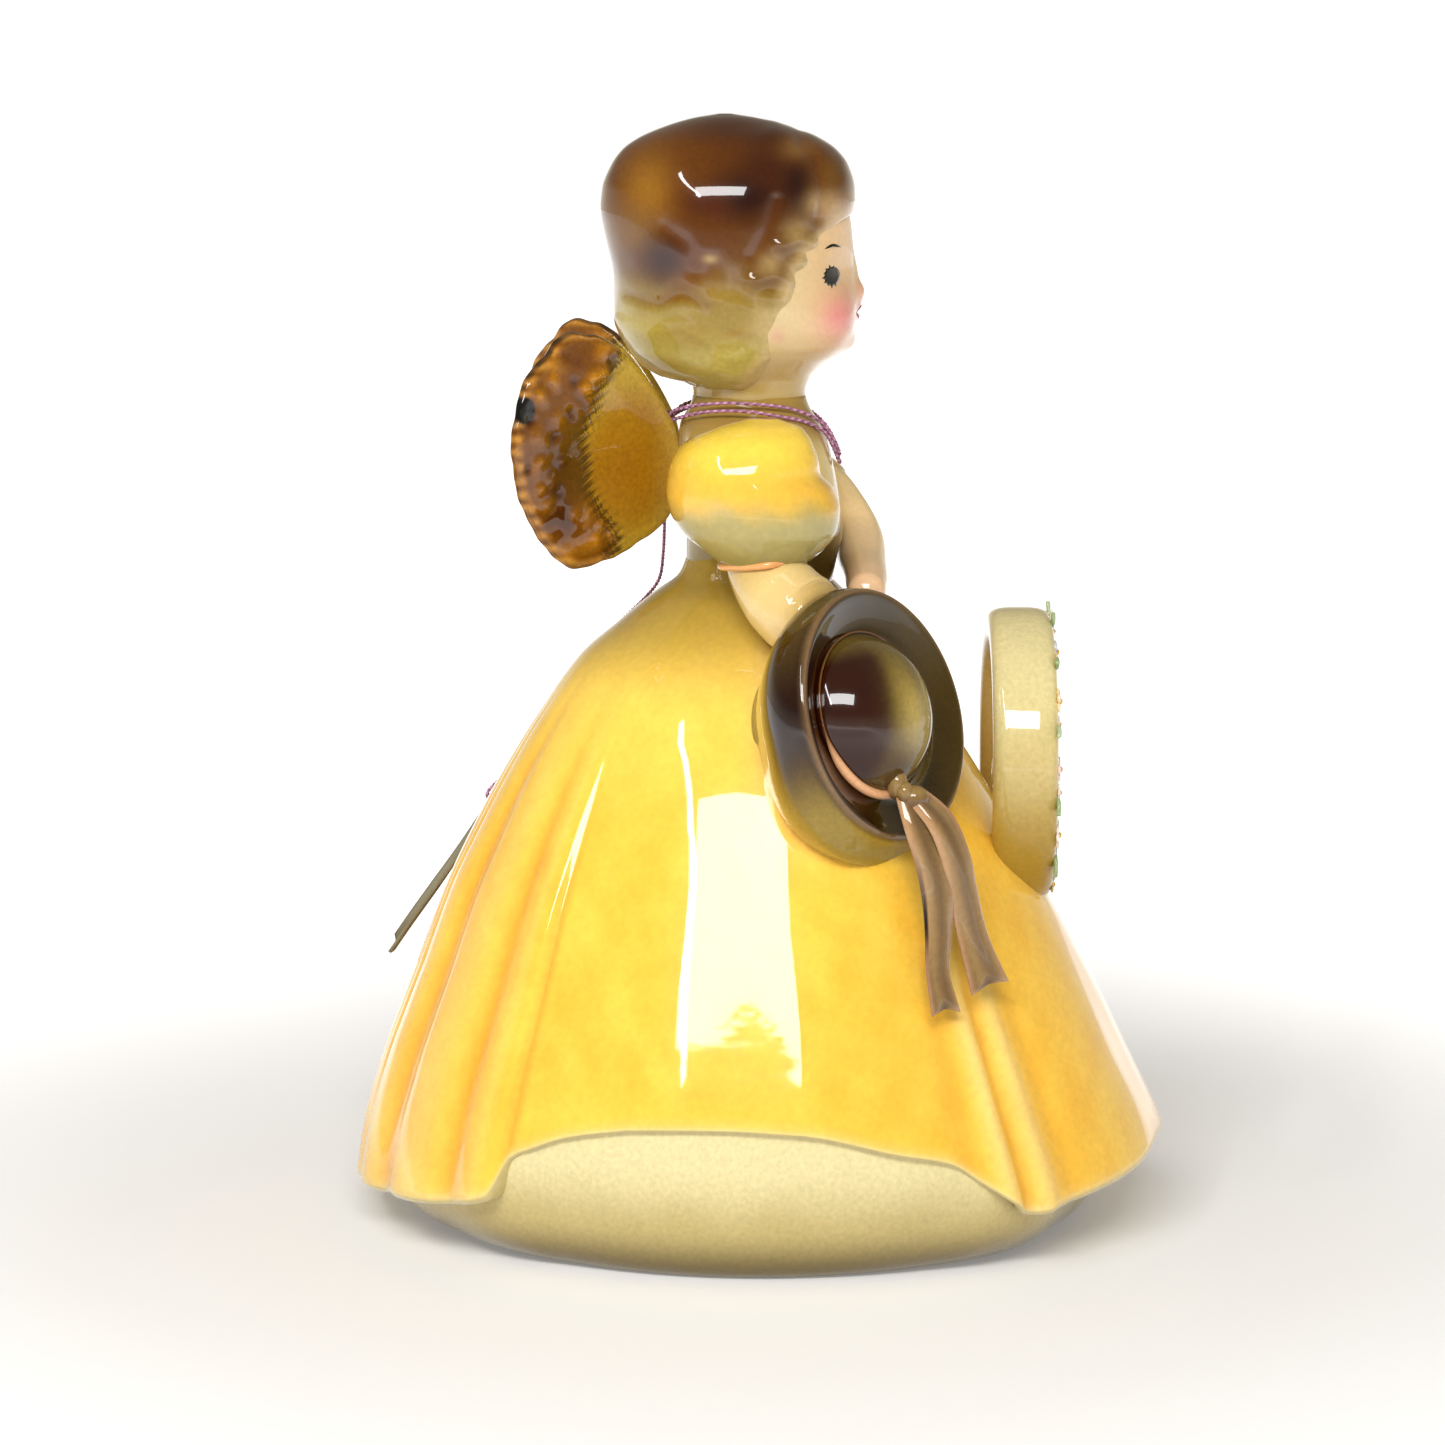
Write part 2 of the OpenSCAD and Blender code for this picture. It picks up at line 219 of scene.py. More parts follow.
def closed_grid(grid, paint):
    """Points, faces and colours of a tube-like grid with a fan over each end."""
    rows, cols = grid.shape[:2]
    points = grid.reshape(-1, 3)
    tint = np.broadcast_to(paint, grid.shape).reshape(-1, 3)
    ends = np.array([grid[0].mean(axis=0), grid[-1].mean(axis=0)])
    faces = grid_faces(rows, cols)
    first, last = rows * cols, rows * cols + 1
    faces += [(first, c, (c + 1) % cols) for c in range(cols)]
    base = (rows - 1) * cols
    faces += [(last, base + (c + 1) % cols, base + c) for c in range(cols)]
    tint = np.vstack([tint, tint[:cols].mean(axis=0), tint[-cols:].mean(axis=0)])
    return np.vstack([points, ends]), faces, tint


def joined(parts):
    """Several (points, faces, colours) as one."""
    points, faces, tints, start = [], [], [], 0
    for p, f, t in parts:
        points.append(p)
        tints.append(np.broadcast_to(t, np.shape(p)))
        faces += [tuple(i + start for i in face) for face in f]
        start += len(p)
    return np.vstack(points), faces, np.vstack(tints)


def sweep(centres, radii, sides=24):
    """Grid of rings of the given radii along a line of centres."""
    centres = np.asarray(centres, float)
    radii = np.broadcast_to(radii, len(centres))
    along = unit(np.gradient(centres, axis=0))
    side = unit(np.cross(along[0], (0, 0, 1) if abs(along[0][2]) < 0.95 else (1, 0, 0)))
    turn = around(sides)[:, None]
    rings = []
    for centre, radius, way in zip(centres, radii, along):
        side = unit(side - way * (side @ way))
        rings.append(centre + radius * (np.cos(turn) * side + np.sin(turn) * np.cross(way, side)))
    return np.array(rings)


def rounded_ends(count, blunt=0.12):
    """Share of the full radius along a limb that closes softly at both ends."""
    t = np.linspace(0, 1, count)
    edge = np.clip(np.minimum(t, 1 - t) / blunt, 0, 1)
    return np.sqrt(np.clip(1 - (1 - edge) ** 2, 1e-4, 1))


def level_grid(rows, heights, turns, squareness=2.0):
    """Oval levels: rows are [height, front, back, half width]."""
    front, back, half = columns(rows, heights).T[..., None]
    x = half * boxy(np.cos(turns), 2 / squareness)
    y = (front + back) / 2 + (back - front) / 2 * boxy(np.sin(turns), 2 / squareness)
    return xyz(x, y, np.asarray(heights)[:, None])


def outward(grid):
    """Unit normals of a grid that goes downwards in rows and anticlockwise in columns."""
    down = np.gradient(grid, axis=0)
    onward = (np.roll(grid, -1, axis=1) - np.roll(grid, 1, axis=1)) / 2
    n = np.cross(down, onward)
    return n / np.maximum(np.linalg.norm(n, axis=-1, keepdims=True), 1e-9)


def ball(centre, radius, rows, cols, stretch=(1, 1, 1)):
    """Points and faces of a sphere or ellipsoid."""
    tilt = np.linspace(0.02, math.pi - 0.02, rows)[:, None]
    turn = around(cols)
    grid = xyz(np.sin(tilt) * np.cos(turn), np.sin(tilt) * np.sin(turn), np.cos(tilt))
    points, faces, _ = closed_grid(grid * radius * np.array(stretch) + np.array(centre), np.zeros(3))
    return points, faces


# ---- materials


def feed(tree, node, inputs):
    """Sets each socket of a node to a value or links it to another node's output."""
    for socket, source in inputs.items():
        if isinstance(source, bpy.types.NodeSocket):
            tree.links.new(source, node.inputs[socket])
        else:
            node.inputs[socket].default_value = source


def add_node(tree, kind, inputs=(), **settings):
    """A new shader node with its settings and inputs."""
    node = tree.nodes.new("ShaderNode" + kind)
    for name, value in settings.items():
        setattr(node, name, value)
    feed(tree, node, dict(inputs))
    return node


def map_range(value, from_min, from_max, to_min, to_max):
    """Inputs of a Map Range node."""
    return {"Value": value, "From Min": from_min, "From Max": from_max, "To Min": to_min, "To Max": to_max}


def noise(tree, place, size, **inputs):
    """Output of a noise texture with features of about the given size."""
    return add_node(tree, "TexNoise", {"Vector": place, "Scale": 1 / (size * MM), **inputs}).outputs["Fac"]


CLOUD_SIZE = 7
RELIEF_DEPTH = 0.1


def material(name, roughness, coat=1.0, mottling=0.10, grain=0.6, wavy=0.15, specular=0.05):
    """Glaze over paint: the painted attribute, broken up by fine and coarse variation."""
    look = bpy.data.materials.new(name)
    look.use_nodes = True
    tree = look.node_tree
    place = add_node(tree, "TexCoord").outputs["Object"]
    spray = noise(tree, place, grain, Detail=5, Roughness=0.62)
    cloud = noise(tree, place, CLOUD_SIZE, Detail=3)
    paint = add_node(tree, "Attribute", attribute_name="glaze").outputs["Color"]
    spread = add_node(tree, "MapRange", map_range(spray, 0.3, 0.7, 1 - mottling, 1 + mottling))
    tinted = add_node(tree, "VectorMath", {0: paint, "Scale": spread.outputs["Result"]}, operation="SCALE")
    rough = add_node(tree, "MapRange", map_range(cloud, 0, 1, roughness * 0.7, roughness * 1.3))
    bump = add_node(tree, "Bump", {"Strength": wavy, "Distance": RELIEF_DEPTH * MM, "Height": cloud})
    relief = bump.outputs["Normal"]
    inputs = {
        "Base Color": tinted.outputs["Vector"], "Roughness": rough.outputs["Result"], "IOR": 1.5,
        "Specular IOR Level": specular, "Coat Weight": coat, "Coat Roughness": 0.03,
        "Normal": relief, "Coat Normal": relief,
    }
    feed(tree, tree.nodes["Principled BSDF"], inputs)
    return look


GLOSS = material("gloss_glaze", 0.22)
SKIN = material("skin_glaze", 0.24, mottling=0.05)
GOWN = material("gown_glaze", 0.2, mottling=0.07, grain=0.9)
DARK = material("dark_glaze", 0.2, mottling=0.14)
RELIEF = material("relief_glaze", 0.2, mottling=0.2, grain=0.5, wavy=0.3)
THREAD = material("thread", 0.8, coat=0.0, mottling=0.25, grain=0.15, wavy=0.4, specular=0.2)
PAPER = material("paper", 0.9, coat=0.0, mottling=0.12, grain=0.35, wavy=0.5, specular=0.15)


def piece(name, parts, look, body, slot, *nodes):
    """A piece in its material, riding on its body in place of its CAD nodes."""
    obj = mesh_piece(name, *parts)
    obj.data.materials.append(look)
    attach(obj, body)
    if nodes:
        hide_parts(*nodes)
    return obj


# ---- camera

CAMERA_AT = (-555, 4, 138)
CAMERA_DOWN = 8.3
LENS = 120.8


def add_camera():
    data = bpy.data.cameras.new("camera")
    data.lens = LENS
    data.sensor_width = 36
    data.clip_start = 0.01
    camera = bpy.data.objects.new("camera", data)
    camera.location = Vector(CAMERA_AT) * MM
    camera.rotation_euler = (math.radians(90 - CAMERA_DOWN), 0, math.radians(-90))
    bpy.context.scene.collection.objects.link(camera)
    bpy.context.scene.camera = camera


add_camera()

# ---- thread and tag

THREAD_D = 0.5
NECK_ROUTE = [
    (0, 10, 92.6), (-2.6, 9.4, 93.4), (-5.6, 7, 94.2), (-7.4, 3.4, 94.6), (-7.5, -0.6, 94.4),
    (-6.2, -4, 93.8), (-4.4, -6.6, 92.6), (-2.6, -8.4, 90.6), (-0.6, -9.4, 88.2), (1.6, -9, 89.4),
    (3.6, -7.6, 91.6), (5.8, -5, 93.4), (7.4, -1.4, 94.2), (7.6, 2.6, 94.4), (6.2, 6.4, 94),
    (3.2, 8.8, 93.4), (-0.8, 9.8, 92.2), (-4.4, 8.6, 92.8), (-7.4, 5.8, 93.6), (-8.8, 1.8, 93.8),
    (-8.4, -2.2, 93.2), (-6.4, -5.4, 92.4), (-4.2, -7.8, 90.8), (-1.4, -9.3, 87.6),
    (2, -9.2, 87.8), (5, -7.2, 91.4), (7.6, -3.8, 93.2), (8.8, 0.4, 93.8), (7.8, 4.6, 93.6),
    (5, 8.2, 93), (1.2, 9.9, 92.4),
]
TAG_ROUTE = [
    (0.6, 10.4, 90.75), (1, 10.5, 88), (2, 10.6, 84), (3.3, 10.7, 80), (5, 10.9, 76),
    (6.4, 11.4, 73), (7.7, 13.1, 70.6), (9, 16.3, 67.4), (10.3, 19.9, 63.4), (11.3, 22.9, 59),
    (12, 25.6, 54.6), (12.5, 28, 50.6), (12.9, 30.6, 48.2), (13, 32, 46.6), (13, 31.5, 46.1),
]
KNOT_AT = (0.6, 10.2, 92.4)
TAG_HOLE_AT = (13, 31.3, 46)
TAG_LEAN = 33.3
TAG_L = 23
TAG_W = 11
TAG_T = 0.35
TAG_MARGIN = 1.8
TAG_SHOULDER = 3
HOLE_R = 0.9
STRAND_PITCH = 0.9
KNOT_SIZE = 0.29
KNOT_THREAD_R = 0.33
HITCH_THREAD_R = 0.2
STRAND_COLOURS = ["#A2708C", "#CC97B8", "#8A5C76"]


def twisted(line):
    """Parts of a thread of twisted strands along a line."""
    along = unit(np.gradient(line, axis=0))
    side = unit(np.cross(along, (0.31, 0.22, 0.92)))
    other = np.cross(along, side)
    gone = gone_along(line)
    parts = []
    for s, colour in enumerate(STRAND_COLOURS):
        turn = 2 * math.pi * (gone / STRAND_PITCH + s / len(STRAND_COLOURS))[:, None]
        off = THREAD_D / 4 * (np.cos(turn) * side + np.sin(turn) * other)
        grid = sweep(line + off, THREAD_D / 3.7, sides=7)
        shade = srgb(colour) * (1 + 0.15 * np.sin(gone * 1.3 + s))[:, None, None]
        parts.append(closed_grid(grid, shade))
    return joined(parts)


def add_thread(name, route, body, node):
    line = spline(route, 8 * len(route))
    obj = piece(name, twisted(line), THREAD, body, "cord", node)


def neck_knot():
    """Overhand knot of dark red thread, with its two cut ends."""
    turn, at = around(90), np.array(KNOT_AT)
    loop = xyz(np.sin(turn) + 2 * np.sin(2 * turn), -np.sin(3 * turn), np.cos(turn) - 2 * np.cos(2 * turn))
    loop = at + KNOT_SIZE * loop * np.array([1, 0.9, 0.8])
    parts = [closed_grid(sweep(np.vstack([loop, loop[:2]]), KNOT_THREAD_R, sides=10), srgb("#5A0C0C"))]
    for tip in ((-1.1, 0.5, -0.2), (1.3, 0.4, 0.1)):
        end = spline([at, at + np.array(tip) * 0.6, at + np.array(tip)], 12)
        parts.append(closed_grid(sweep(end, 0.2 * rounded_ends(12), sides=8), srgb("#8A3038")))
    return joined(parts)


def tag_knot():
    """Small hitch where the thread is tied through the tag."""
    at = np.array(TAG_ROUTE[-1]) + (0, 0.15, 0.1)
    turn = np.linspace(0, 2 * math.pi, 40)
    loop = at + xyz(0.42 * np.cos(turn), 0.3 * np.sin(turn), 0.3 * np.sin(turn + 0.6))
    return closed_grid(sweep(loop, HITCH_THREAD_R, sides=8), srgb("#8C6272"))


def tag_outline():
    """Outline of the tag with clipped shoulders, round its hole."""
    half, low = TAG_W / 2, TAG_MARGIN - TAG_L
    corners = np.array(
        [
            (TAG_SHOULDER / 2, TAG_MARGIN), (-TAG_SHOULDER / 2, TAG_MARGIN), (-half, -TAG_SHOULDER),
            (-half, low), (half, low), (half, -TAG_SHOULDER),
        ]
    )
    along = np.linspace(0, 1, 16, endpoint=False)[:, None]
    return np.vstack([a + (b - a) * along for a, b in zip(corners, np.roll(corners, -1, axis=0))])


def tag_parts():
    """Card tag, softly curled across its width."""
    outline = tag_outline()
    turn = np.arctan2(outline[:, 1], outline[:, 0])
    hole = HOLE_R * xyz(np.cos(turn), np.sin(turn))
    share = np.linspace(0, 1, 26) ** 1.2
    x, y = np.moveaxis(hole + (outline - hole) * share[:, None, None], -1, 0)
    curl = 0.5 * (x / (TAG_W / 2)) ** 2 * smooth(0, -14, y) - 0.35 * bell(y, -10, 7)
    lean = math.radians(TAG_LEAN)
    faces_out = np.array([0, math.cos(lean), math.sin(lean)])
    upward = np.array([0, -math.sin(lean), math.cos(lean)])
    middle = np.array(TAG_HOLE_AT) + xyz(x, 0, 0) + y[..., None] * upward
    front, back = (middle + (curl + lift)[..., None] * faces_out for lift in (TAG_T / 2, -TAG_T / 2))
    sheet = np.concatenate([front, back[::-1]])
    points = sheet.reshape(-1, 3)
    # The card is painted grey-brown as painted shade, and darker towards its edges as more painted shade.
    edge_shade = smooth(0.75, 1, np.concatenate([share, share[::-1]]))
    tint = painted("#968E74", ("#756C54", np.repeat(edge_shade, sheet.shape[1]) * 0.7))
    tint = tint * (1 + 0.06 * mottle(points, 6))[:, None]
    return points, looped_faces(*sheet.shape[:2]), tint


knot = piece("neck_knot", neck_knot(), DARK, "figure", "cord", "cord_knot")
tag = piece("hang_tag", tag_parts(), PAPER, "tag", "tag_paper", "paper_tag")
hitch = piece("tag_hitch", tag_knot(), THREAD, "tag_line", "cord")
add_thread("neck_thread", NECK_ROUTE, "figure", "neck_cord")
add_thread("tag_thread", TAG_ROUTE, "tag_line", "tag_cord")

# ---- gown and petticoat

WAIST_Z = 77
GOWN_ROWS = [
    # height, front, back, side
    (4, 49.2, 45.9, 45.2), (10, 47.2, 45, 43.4), (20, 42.4, 42.1, 40.2), (25, 40, 40.2, 38.35),
    (30, 37.5, 38.2, 36.43), (35, 35, 36.35, 34.45), (40, 32.3, 34.4, 32.43), (45, 29.5, 32.1, 30.33),
    (50, 26.6, 29.7, 28.1), (55, 23.6, 27, 25.7), (58, 21.8, 25.2, 24), (65, 17, 20.4, 19),
    (69, 13.6, 15.8, 14.8), (72, 10.6, 12.2, 11.2), (74.5, 8.2, 9, 8.6), (WAIST_Z, 7.2, 8, 7.6),
]
HEM_ROWS = [
    # degrees towards the back from the side, height
    (-90, 10.2), (-78, 10.4), (-64, 9.6), (-51, 8.6), (-43.5, 7.9), (-38.5, 7.7), (-35.6, 9.2),
    (-32.6, 11.1), (-27.5, 13.8), (-20, 15.2), (-6, 17.7), (6, 18.2), (18, 17.9), (24, 17.3),
    (30, 16.3), (35, 14.8), (38.8, 13.4), (40.6, 9.6), (43, 8.8), (49, 7.8), (70, 6), (90, 4.6),
]
TUCK_ROWS = [
    # degrees towards the back, height where the petticoat ends behind the gown
    (-90, 12.4), (-60, 12), (-46, 11.4), (-38, 12), (-32, 14), (-27.5, 15.4), (-20, 16.8), (-6, 19),
    (6, 19.4), (18, 19.1), (28, 18), (35, 16.2), (42, 12.6), (50, 10.6), (70, 8.6), (90, 7.2),
]
PLEATS = [
    # degrees towards the back, width in degrees, height
    (49, 2.4, -0.75), (57, 5, 0.35), (67, 3, -0.75), (75, 4, 0.25), (80.5, 1.6, -0.45), (85, 1.5, -0.3),
    (43.5, 1.6, 0.25), (-31, 2.6, -0.45), (-35.6, 1.9, 0.95), (-38.8, 1.3, -0.55), (-42, 2.2, 0.75),
    (-47, 2.4, -0.35), (-64, 9, 0.3), (-79, 6, -0.25),
]
GOWN_COLS = 540
FOOT_R = 33.5
VENT_R = 3
LIP_RINGS = [
    # how far the hem's underside goes inwards and down
    (0.12, 0.35), (0.45, 0.7), (1, 0.85), (2, 0.8), (3.4, 0.3),
]
LINING_RINGS = [
    # height and radius inside the skirt
    (26, 33), (50, 22), (66, 12), (73.4, 5),
]
FOOT_RINGS = [
    # radius and height, from the vent hole over the underside to the foot
    (VENT_R, 4), (VENT_R, 1.9), (VENT_R + 0.3, 1.6), (18, 1.6), (30.3, 1.6), (30.9, 1.4),
    (31.5, 0.3), (31.9, 0),
]


def to_back(turns):
    """Degrees towards the back from the nearer side of the figure, negative towards the front."""
    return np.degrees(np.arctan2(np.sin(turns), np.abs(np.cos(turns))))


def down_gown(z):
    """0 at the waist and 1 near the foot."""
    return np.clip((WAIST_Z - z) / (WAIST_Z - 6), 0, 1)


def oval(turns, z):
    """X and Y of the gown without its folds."""
    front, back, side = columns(GOWN_ROWS, z).T
    return side * np.cos(turns), np.where(np.sin(turns) > 0, back, front) * np.sin(turns)


def level_ring(turns, r, z):
    return xyz(r * np.cos(turns), r * np.sin(turns), z)


def gown_point(turns, z):
    """Outer face of the gown at each turn and height, with its panels and pleats."""
    lat, deep = to_back(turns), down_gown(z)
    x, y = oval(turns, z)
    behind = smooth(0.12, 0.6, deep)
    before = smooth(0.45, 0.8, deep)
    out = 0.95 * smooth(39.0, 40.6, lat) * behind + 0.3 * smooth(-43, -46, lat) * before
    for at, width, height in PLEATS:
        out = out + height * bell(lat, at, width) * (behind if at > 0 else before)
    p = xyz(x, y, z)
    out = out + 0.05 * mottle(p, 24) * smooth(0.05, 0.2, deep)
    reach = np.hypot(x, y)
    grown = (reach + out) / reach
    return p * xyz(grown, grown, 1.0)


def gown_paint(turns, p, hem):
    """Golden yellow, with painted shade in the pleat valleys and painted highlights on their ridges, painted
    shade along the back panel's edge and at the waist, and paler along the hem.
    """
    lat, z = to_back(turns), p[..., 2]
    deep, above = down_gown(z), z - hem
    coats = [
        ("#F6BE40", 0.5 + 0.5 * mottle(p, 7)),
        ("#FBD863", 0.7 * smooth(0.45, 0.1, deep)),
        ("#F0C9A0", 0.6 * bell(lat, -10, 9) * smooth(0.5, 0.2, deep) * smooth(0.05, 0.12, deep)),
        ("#F6B43A", 0.3 * bell(lat, -18, 9) * smooth(0.4, 0.7, deep)),
    ]
    # Pleat valleys get painted shade and pleat ridges get painted highlights.
    for at, width, height in PLEATS:
        here = bell(lat, at, width * 0.9) * (smooth(0.15, 0.5, deep) if at > 0 else smooth(0.45, 0.75, deep))
        coats.append(("#E89A2A" if height < 0 else "#FADC8C", min(abs(height), 0.8) * 0.8 * here))
    return painted(
        "#FACB4C",
        *coats,
        # Painted shade along the foot of the raised back panel, then painted shade at the waist under the
        # sleeves and arms.
        ("#DE9630", 0.6 * bell(lat, 38.6, 0.8) * smooth(0.3, 0.6, deep)),
        ("#6A5620", 0.9 * smooth(0.15, 0.045, deep)),
        ("#AC8C38", 0.75 * smooth(0.24, 0.1, deep)),
        ("#F2CE74", 0.5 * smooth(1.6, 0.0, above)),
        ("#E2CE8C", 0.6 * smooth(0.3, -0.1, above)),
    )


def gown_parts():
    turns = around(GOWN_COLS)
    hem = columns(HEM_ROWS, to_back(turns))[..., 0]
    grid, tint = [], []
    for share in np.linspace(0, 1, 150) ** 1.12:
        p = gown_point(turns, WAIST_Z + 0.6 + (hem - WAIST_Z - 0.6) * share)
        grid.append(p)
        tint.append(gown_paint(turns, p, hem))
    edge = grid[-1]
    lip = 0.35 + 0.65 * smooth(36, 41, np.abs(to_back(turns))) + 0.6 * smooth(-46, -62, to_back(turns))
    for inward, drop in LIP_RINGS:
        grid.append(edge - level_ring(turns, inward * lip, drop * lip))
    grid += [level_ring(turns, r, z) for z, r in LINING_RINGS]
    tint += [np.broadcast_to(srgb("#CDBB7E"), edge.shape)] * (len(grid) - len(tint))
    return closed_grid(np.array(grid), np.array(tint))


def petticoat_parts():
    """Shallow bowl from the foot ring up to the hem, hollow underneath, with a vent hole."""
    turns = around(GOWN_COLS)
    lat = to_back(turns)
    top = columns(TUCK_ROWS, lat)[..., 0]
    reach = np.hypot(*oval(turns, top)) - (0.6 + 0.8 * smooth(45, 60, lat) + 3.4 * smooth(-44, -66, lat))
    rows = list(FOOT_RINGS)
    for share in np.linspace(0.0, 1.0, 40):
        swing = share * math.pi / 2
        rows.append((FOOT_R + (reach - FOOT_R) * math.sin(swing), top * (1 - math.cos(swing)) ** 1.05))
    rows += [(reach - 1.6, top + 0.6), (reach - 4, top + 0.3), (28, 4.6), FOOT_RINGS[0]]
    grid = np.array([level_ring(turns, r, z) for r, z in rows])
    z = grid[..., 2]
    # Cream, darker and olive towards the foot as painted shade, with a painted contact shadow at the very
    # bottom.
    tint = painted(
        "#DFD29C", ("#BBA86C", smooth(14, 5, z + 0.5 * mottle(grid, 12))), ("#6A5828", smooth(6.5, 0.8, z))
    )
    return grid.reshape(-1, 3), grid_faces(*grid.shape[:2]), tint.reshape(-1, 3)


piece("gown", gown_parts(), GOWN, "figure", "yellow_glaze", "skirt")
piece("petticoat", petticoat_parts(), GLOSS, "figure", "cream_glaze", "petticoat_base")

# ---- bodice, head and hair

BODICE_ROWS = [
    # height, front, back, half width
    (73, -8.6, 8.8, 8.2), (76.5, -9.2, 8.2, 7.4), (79, -9.8, 8.2, 8.4), (82, -9.6, 8.6, 9.6),
    (87.5, -8.6, 8.8, 11.5), (90.5, -7.8, 9, 11), (92, -7, 8.8, 9.6), (93.6, -6, 7.8, 7),
    (95, -5.5, 7.4, 6.2),
]
HEAD_ROWS = [
    # height, front, back, half width
    (92.5, -5.7, 7.5, 6.3), (95.3, -5.5, 7.4, 6.3), (96.9, -6, 7.9, 6.7), (98.3, -7.3, 8.8, 8.1),
    (99.7, -9.3, 10, 9.6), (101, -10.6, 11.4, 10.8), (103, -11.3, 12.8, 11.7),
    (105.5, -11.4, 13.8, 12.1), (108.3, -11.1, 14.4, 12.2), (112, -10.9, 14.8, 12),
    (116, -10.4, 14.6, 11.2), (119.5, -8, 13, 9.2), (122, -3, 9.5, 5.6), (123.2, 2, 4, 1),
]
HAIR_ROWS = [
    # height, front, back, half width
    (96, -3, 7.6, 6.4), (96.6, -4, 9.4, 7.6), (97.2, -5, 11.2, 8.6), (98.3, -6.4, 13.2, 9.8),
    (100.2, -8, 14.8, 11.2), (102, -9, 15.9, 12.1), (104.1, -9.6, 16.4, 12.7), (106.5, -9.8, 16.4, 13),
    (109.3, -9.9, 16.6, 13.1), (112.1, -10, 17.2, 13.1), (114, -10.3, 17.6, 13), (116, -10.8, 17.9, 12.7),
    (118.5, -10.9, 17.7, 12.2), (121.1, -10.2, 16.7, 11), (122.9, -8.8, 15.4, 9.6),
    (124.2, -6.6, 13.6, 8.2), (125.5, -3, 10.6, 6), (126.5, 0.2, 7.2, 3.4), (126.95, 3, 4.4, 0.7),
]
HAIRLINE = [
    # height, how far forward the hair reaches
    (95.5, 1.8), (96.6, 1.2), (99.4, -0.7), (102, -2.4), (104.5, -3.2), (107.5, -3.6), (110.5, -5),
    (112.6, -6.4), (114.2, -8.4), (115.6, -10.6), (117, -14),
]
STRANDS = [
    # points in the YZ plane, width, height of raised or sunken locks of hair
    ([(-2, 124.6), (-5.6, 123.4), (-8.6, 120.4), (-9.6, 117)], 1.5, 0.45),
    ([(-4.4, 124.2), (-6.4, 121.6), (-7.3, 118.6), (-7, 115.6)], 0.8, -0.35),
    ([(-2.6, 112.6), (-4.6, 113.1), (-6.6, 112), (-6, 110.6), (-4.6, 110.5)], 0.75, 0.5),
    ([(0.4, 108.7), (-1.8, 109.2), (-3.6, 107.9), (-2.9, 106.6), (-1, 106.6)], 0.8, 0.5),
    ([(0.6, 111.4), (-1, 114.4), (-2, 117.6)], 0.8, -0.25),
    ([(15.4, 103.2), (12, 102.6), (9, 103.6), (6.4, 102.4), (3.6, 101.8), (1, 102.8)], 0.9, 0.4),
    ([(14.6, 106.8), (11.4, 106), (8.6, 107.2), (5.8, 105.8)], 0.8, -0.3),
    ([(5, 106.4), (2, 105.6), (-0.6, 104.4)], 0.9, 0.35),
    ([(4.8, 100.6), (2.4, 99.8), (0.8, 101)], 0.7, 0.3),
    ([(12.6, 100.2), (8.4, 99.4), (4.6, 98.6)], 0.9, 0.35),
    ([(10.6, 114.6), (8, 112.6), (7.2, 109.6)], 1, -0.2),
]
HAIR_SPOTS = [
    # y, z, half width, half height, colour, share
    (9, 124.6, 5, 2.2, "#7A4C10", 0.9), (3.4, 125.8, 5, 2, "#5E360A", 0.9),
    (-1.4, 124.4, 2.6, 1.8, "#5A320A", 0.85), (16.8, 118.2, 1.7, 4.2, "#70440E", 0.9),
    (17, 112.6, 1.6, 3.4, "#8A6420", 0.7), (12.3, 118.6, 3.4, 4.6, "#A87C30", 0.95),
    (13.8, 113.6, 2.4, 2.4, "#94702A", 0.7), (6.6, 119.6, 2.8, 3.4, "#7E500E", 0.85),
    (1.2, 117.8, 4.6, 3.2, "#381200", 1), (5.8, 117.2, 2.8, 1.8, "#612E04", 0.85),
    (-0.8, 121.2, 2.6, 2, "#54280A", 0.8), (-4.3, 119.2, 1.9, 3, "#3E1A04", 1),
    (-1.6, 114.4, 2.4, 2.4, "#6A3E0C", 0.85), (5.8, 113.6, 4, 2.2, "#74480C", 0.85),
    (0.9, 112.4, 2.8, 2, "#7A5018", 0.8), (2.8, 109.6, 2.8, 1.4, "#8E6C2C", 0.75),
    (10.5, 110.9, 2.8, 2.8, "#481A02", 1), (7.4, 108.4, 2.2, 1.2, "#8A5A1A", 0.8),
    (-4.6, 123.2, 2, 1.2, "#957446", 0.9), (-8.2, 120.4, 1.8, 2.4, "#80602C", 0.85),
    (-7, 117, 1.6, 1.6, "#C8AE80", 0.85), (-4.4, 113.6, 1.8, 1.8, "#B59C6A", 0.85),
    (-1.4, 110.4, 1.7, 1.5, "#B8A070", 0.8), (5.4, 111.1, 0.8, 0.5, "#C4AA74", 0.7),
    (4, 107, 3.4, 1.7, "#A98F42", 0.8), (9.6, 106.6, 2.6, 0.6, "#966A1E", 0.6),
    (2.4, 102.8, 1.6, 0.45, "#A47E34", 0.6), (7.6, 102.6, 3, 1.6, "#B09640", 0.7),
    (12.6, 102.8, 3, 2.4, "#C6B462", 0.7), (15.2, 102.4, 1.4, 3.6, "#D6C88C", 0.8),
    (-1, 103.4, 2, 2.4, "#D0B988", 0.8), (10.6, 98.8, 3.4, 1.4, "#B09A50", 0.7),
]
# Cheek blush and a pinkish spot beside it, painted shade under the jaw, a band of painted shade round the
# neck, and a paler spot on the forehead.
FACE_SPOTS = [
    # y, z, half width, half height, colour, share
    (-9.5, 104.3, 2.5, 2.6, "#DB7F80", 0.85), (-2.2, 102.4, 1, 1, "#C98E7A", 0.5),
    (-4, 97.6, 3.4, 1.4, "#C8A860", 0.55), (0, 94.4, 9, 2, "#8E6E2C", 0.85),
    (-10.6, 114, 2, 2.4, "#EFCFB0", 0.5),
]
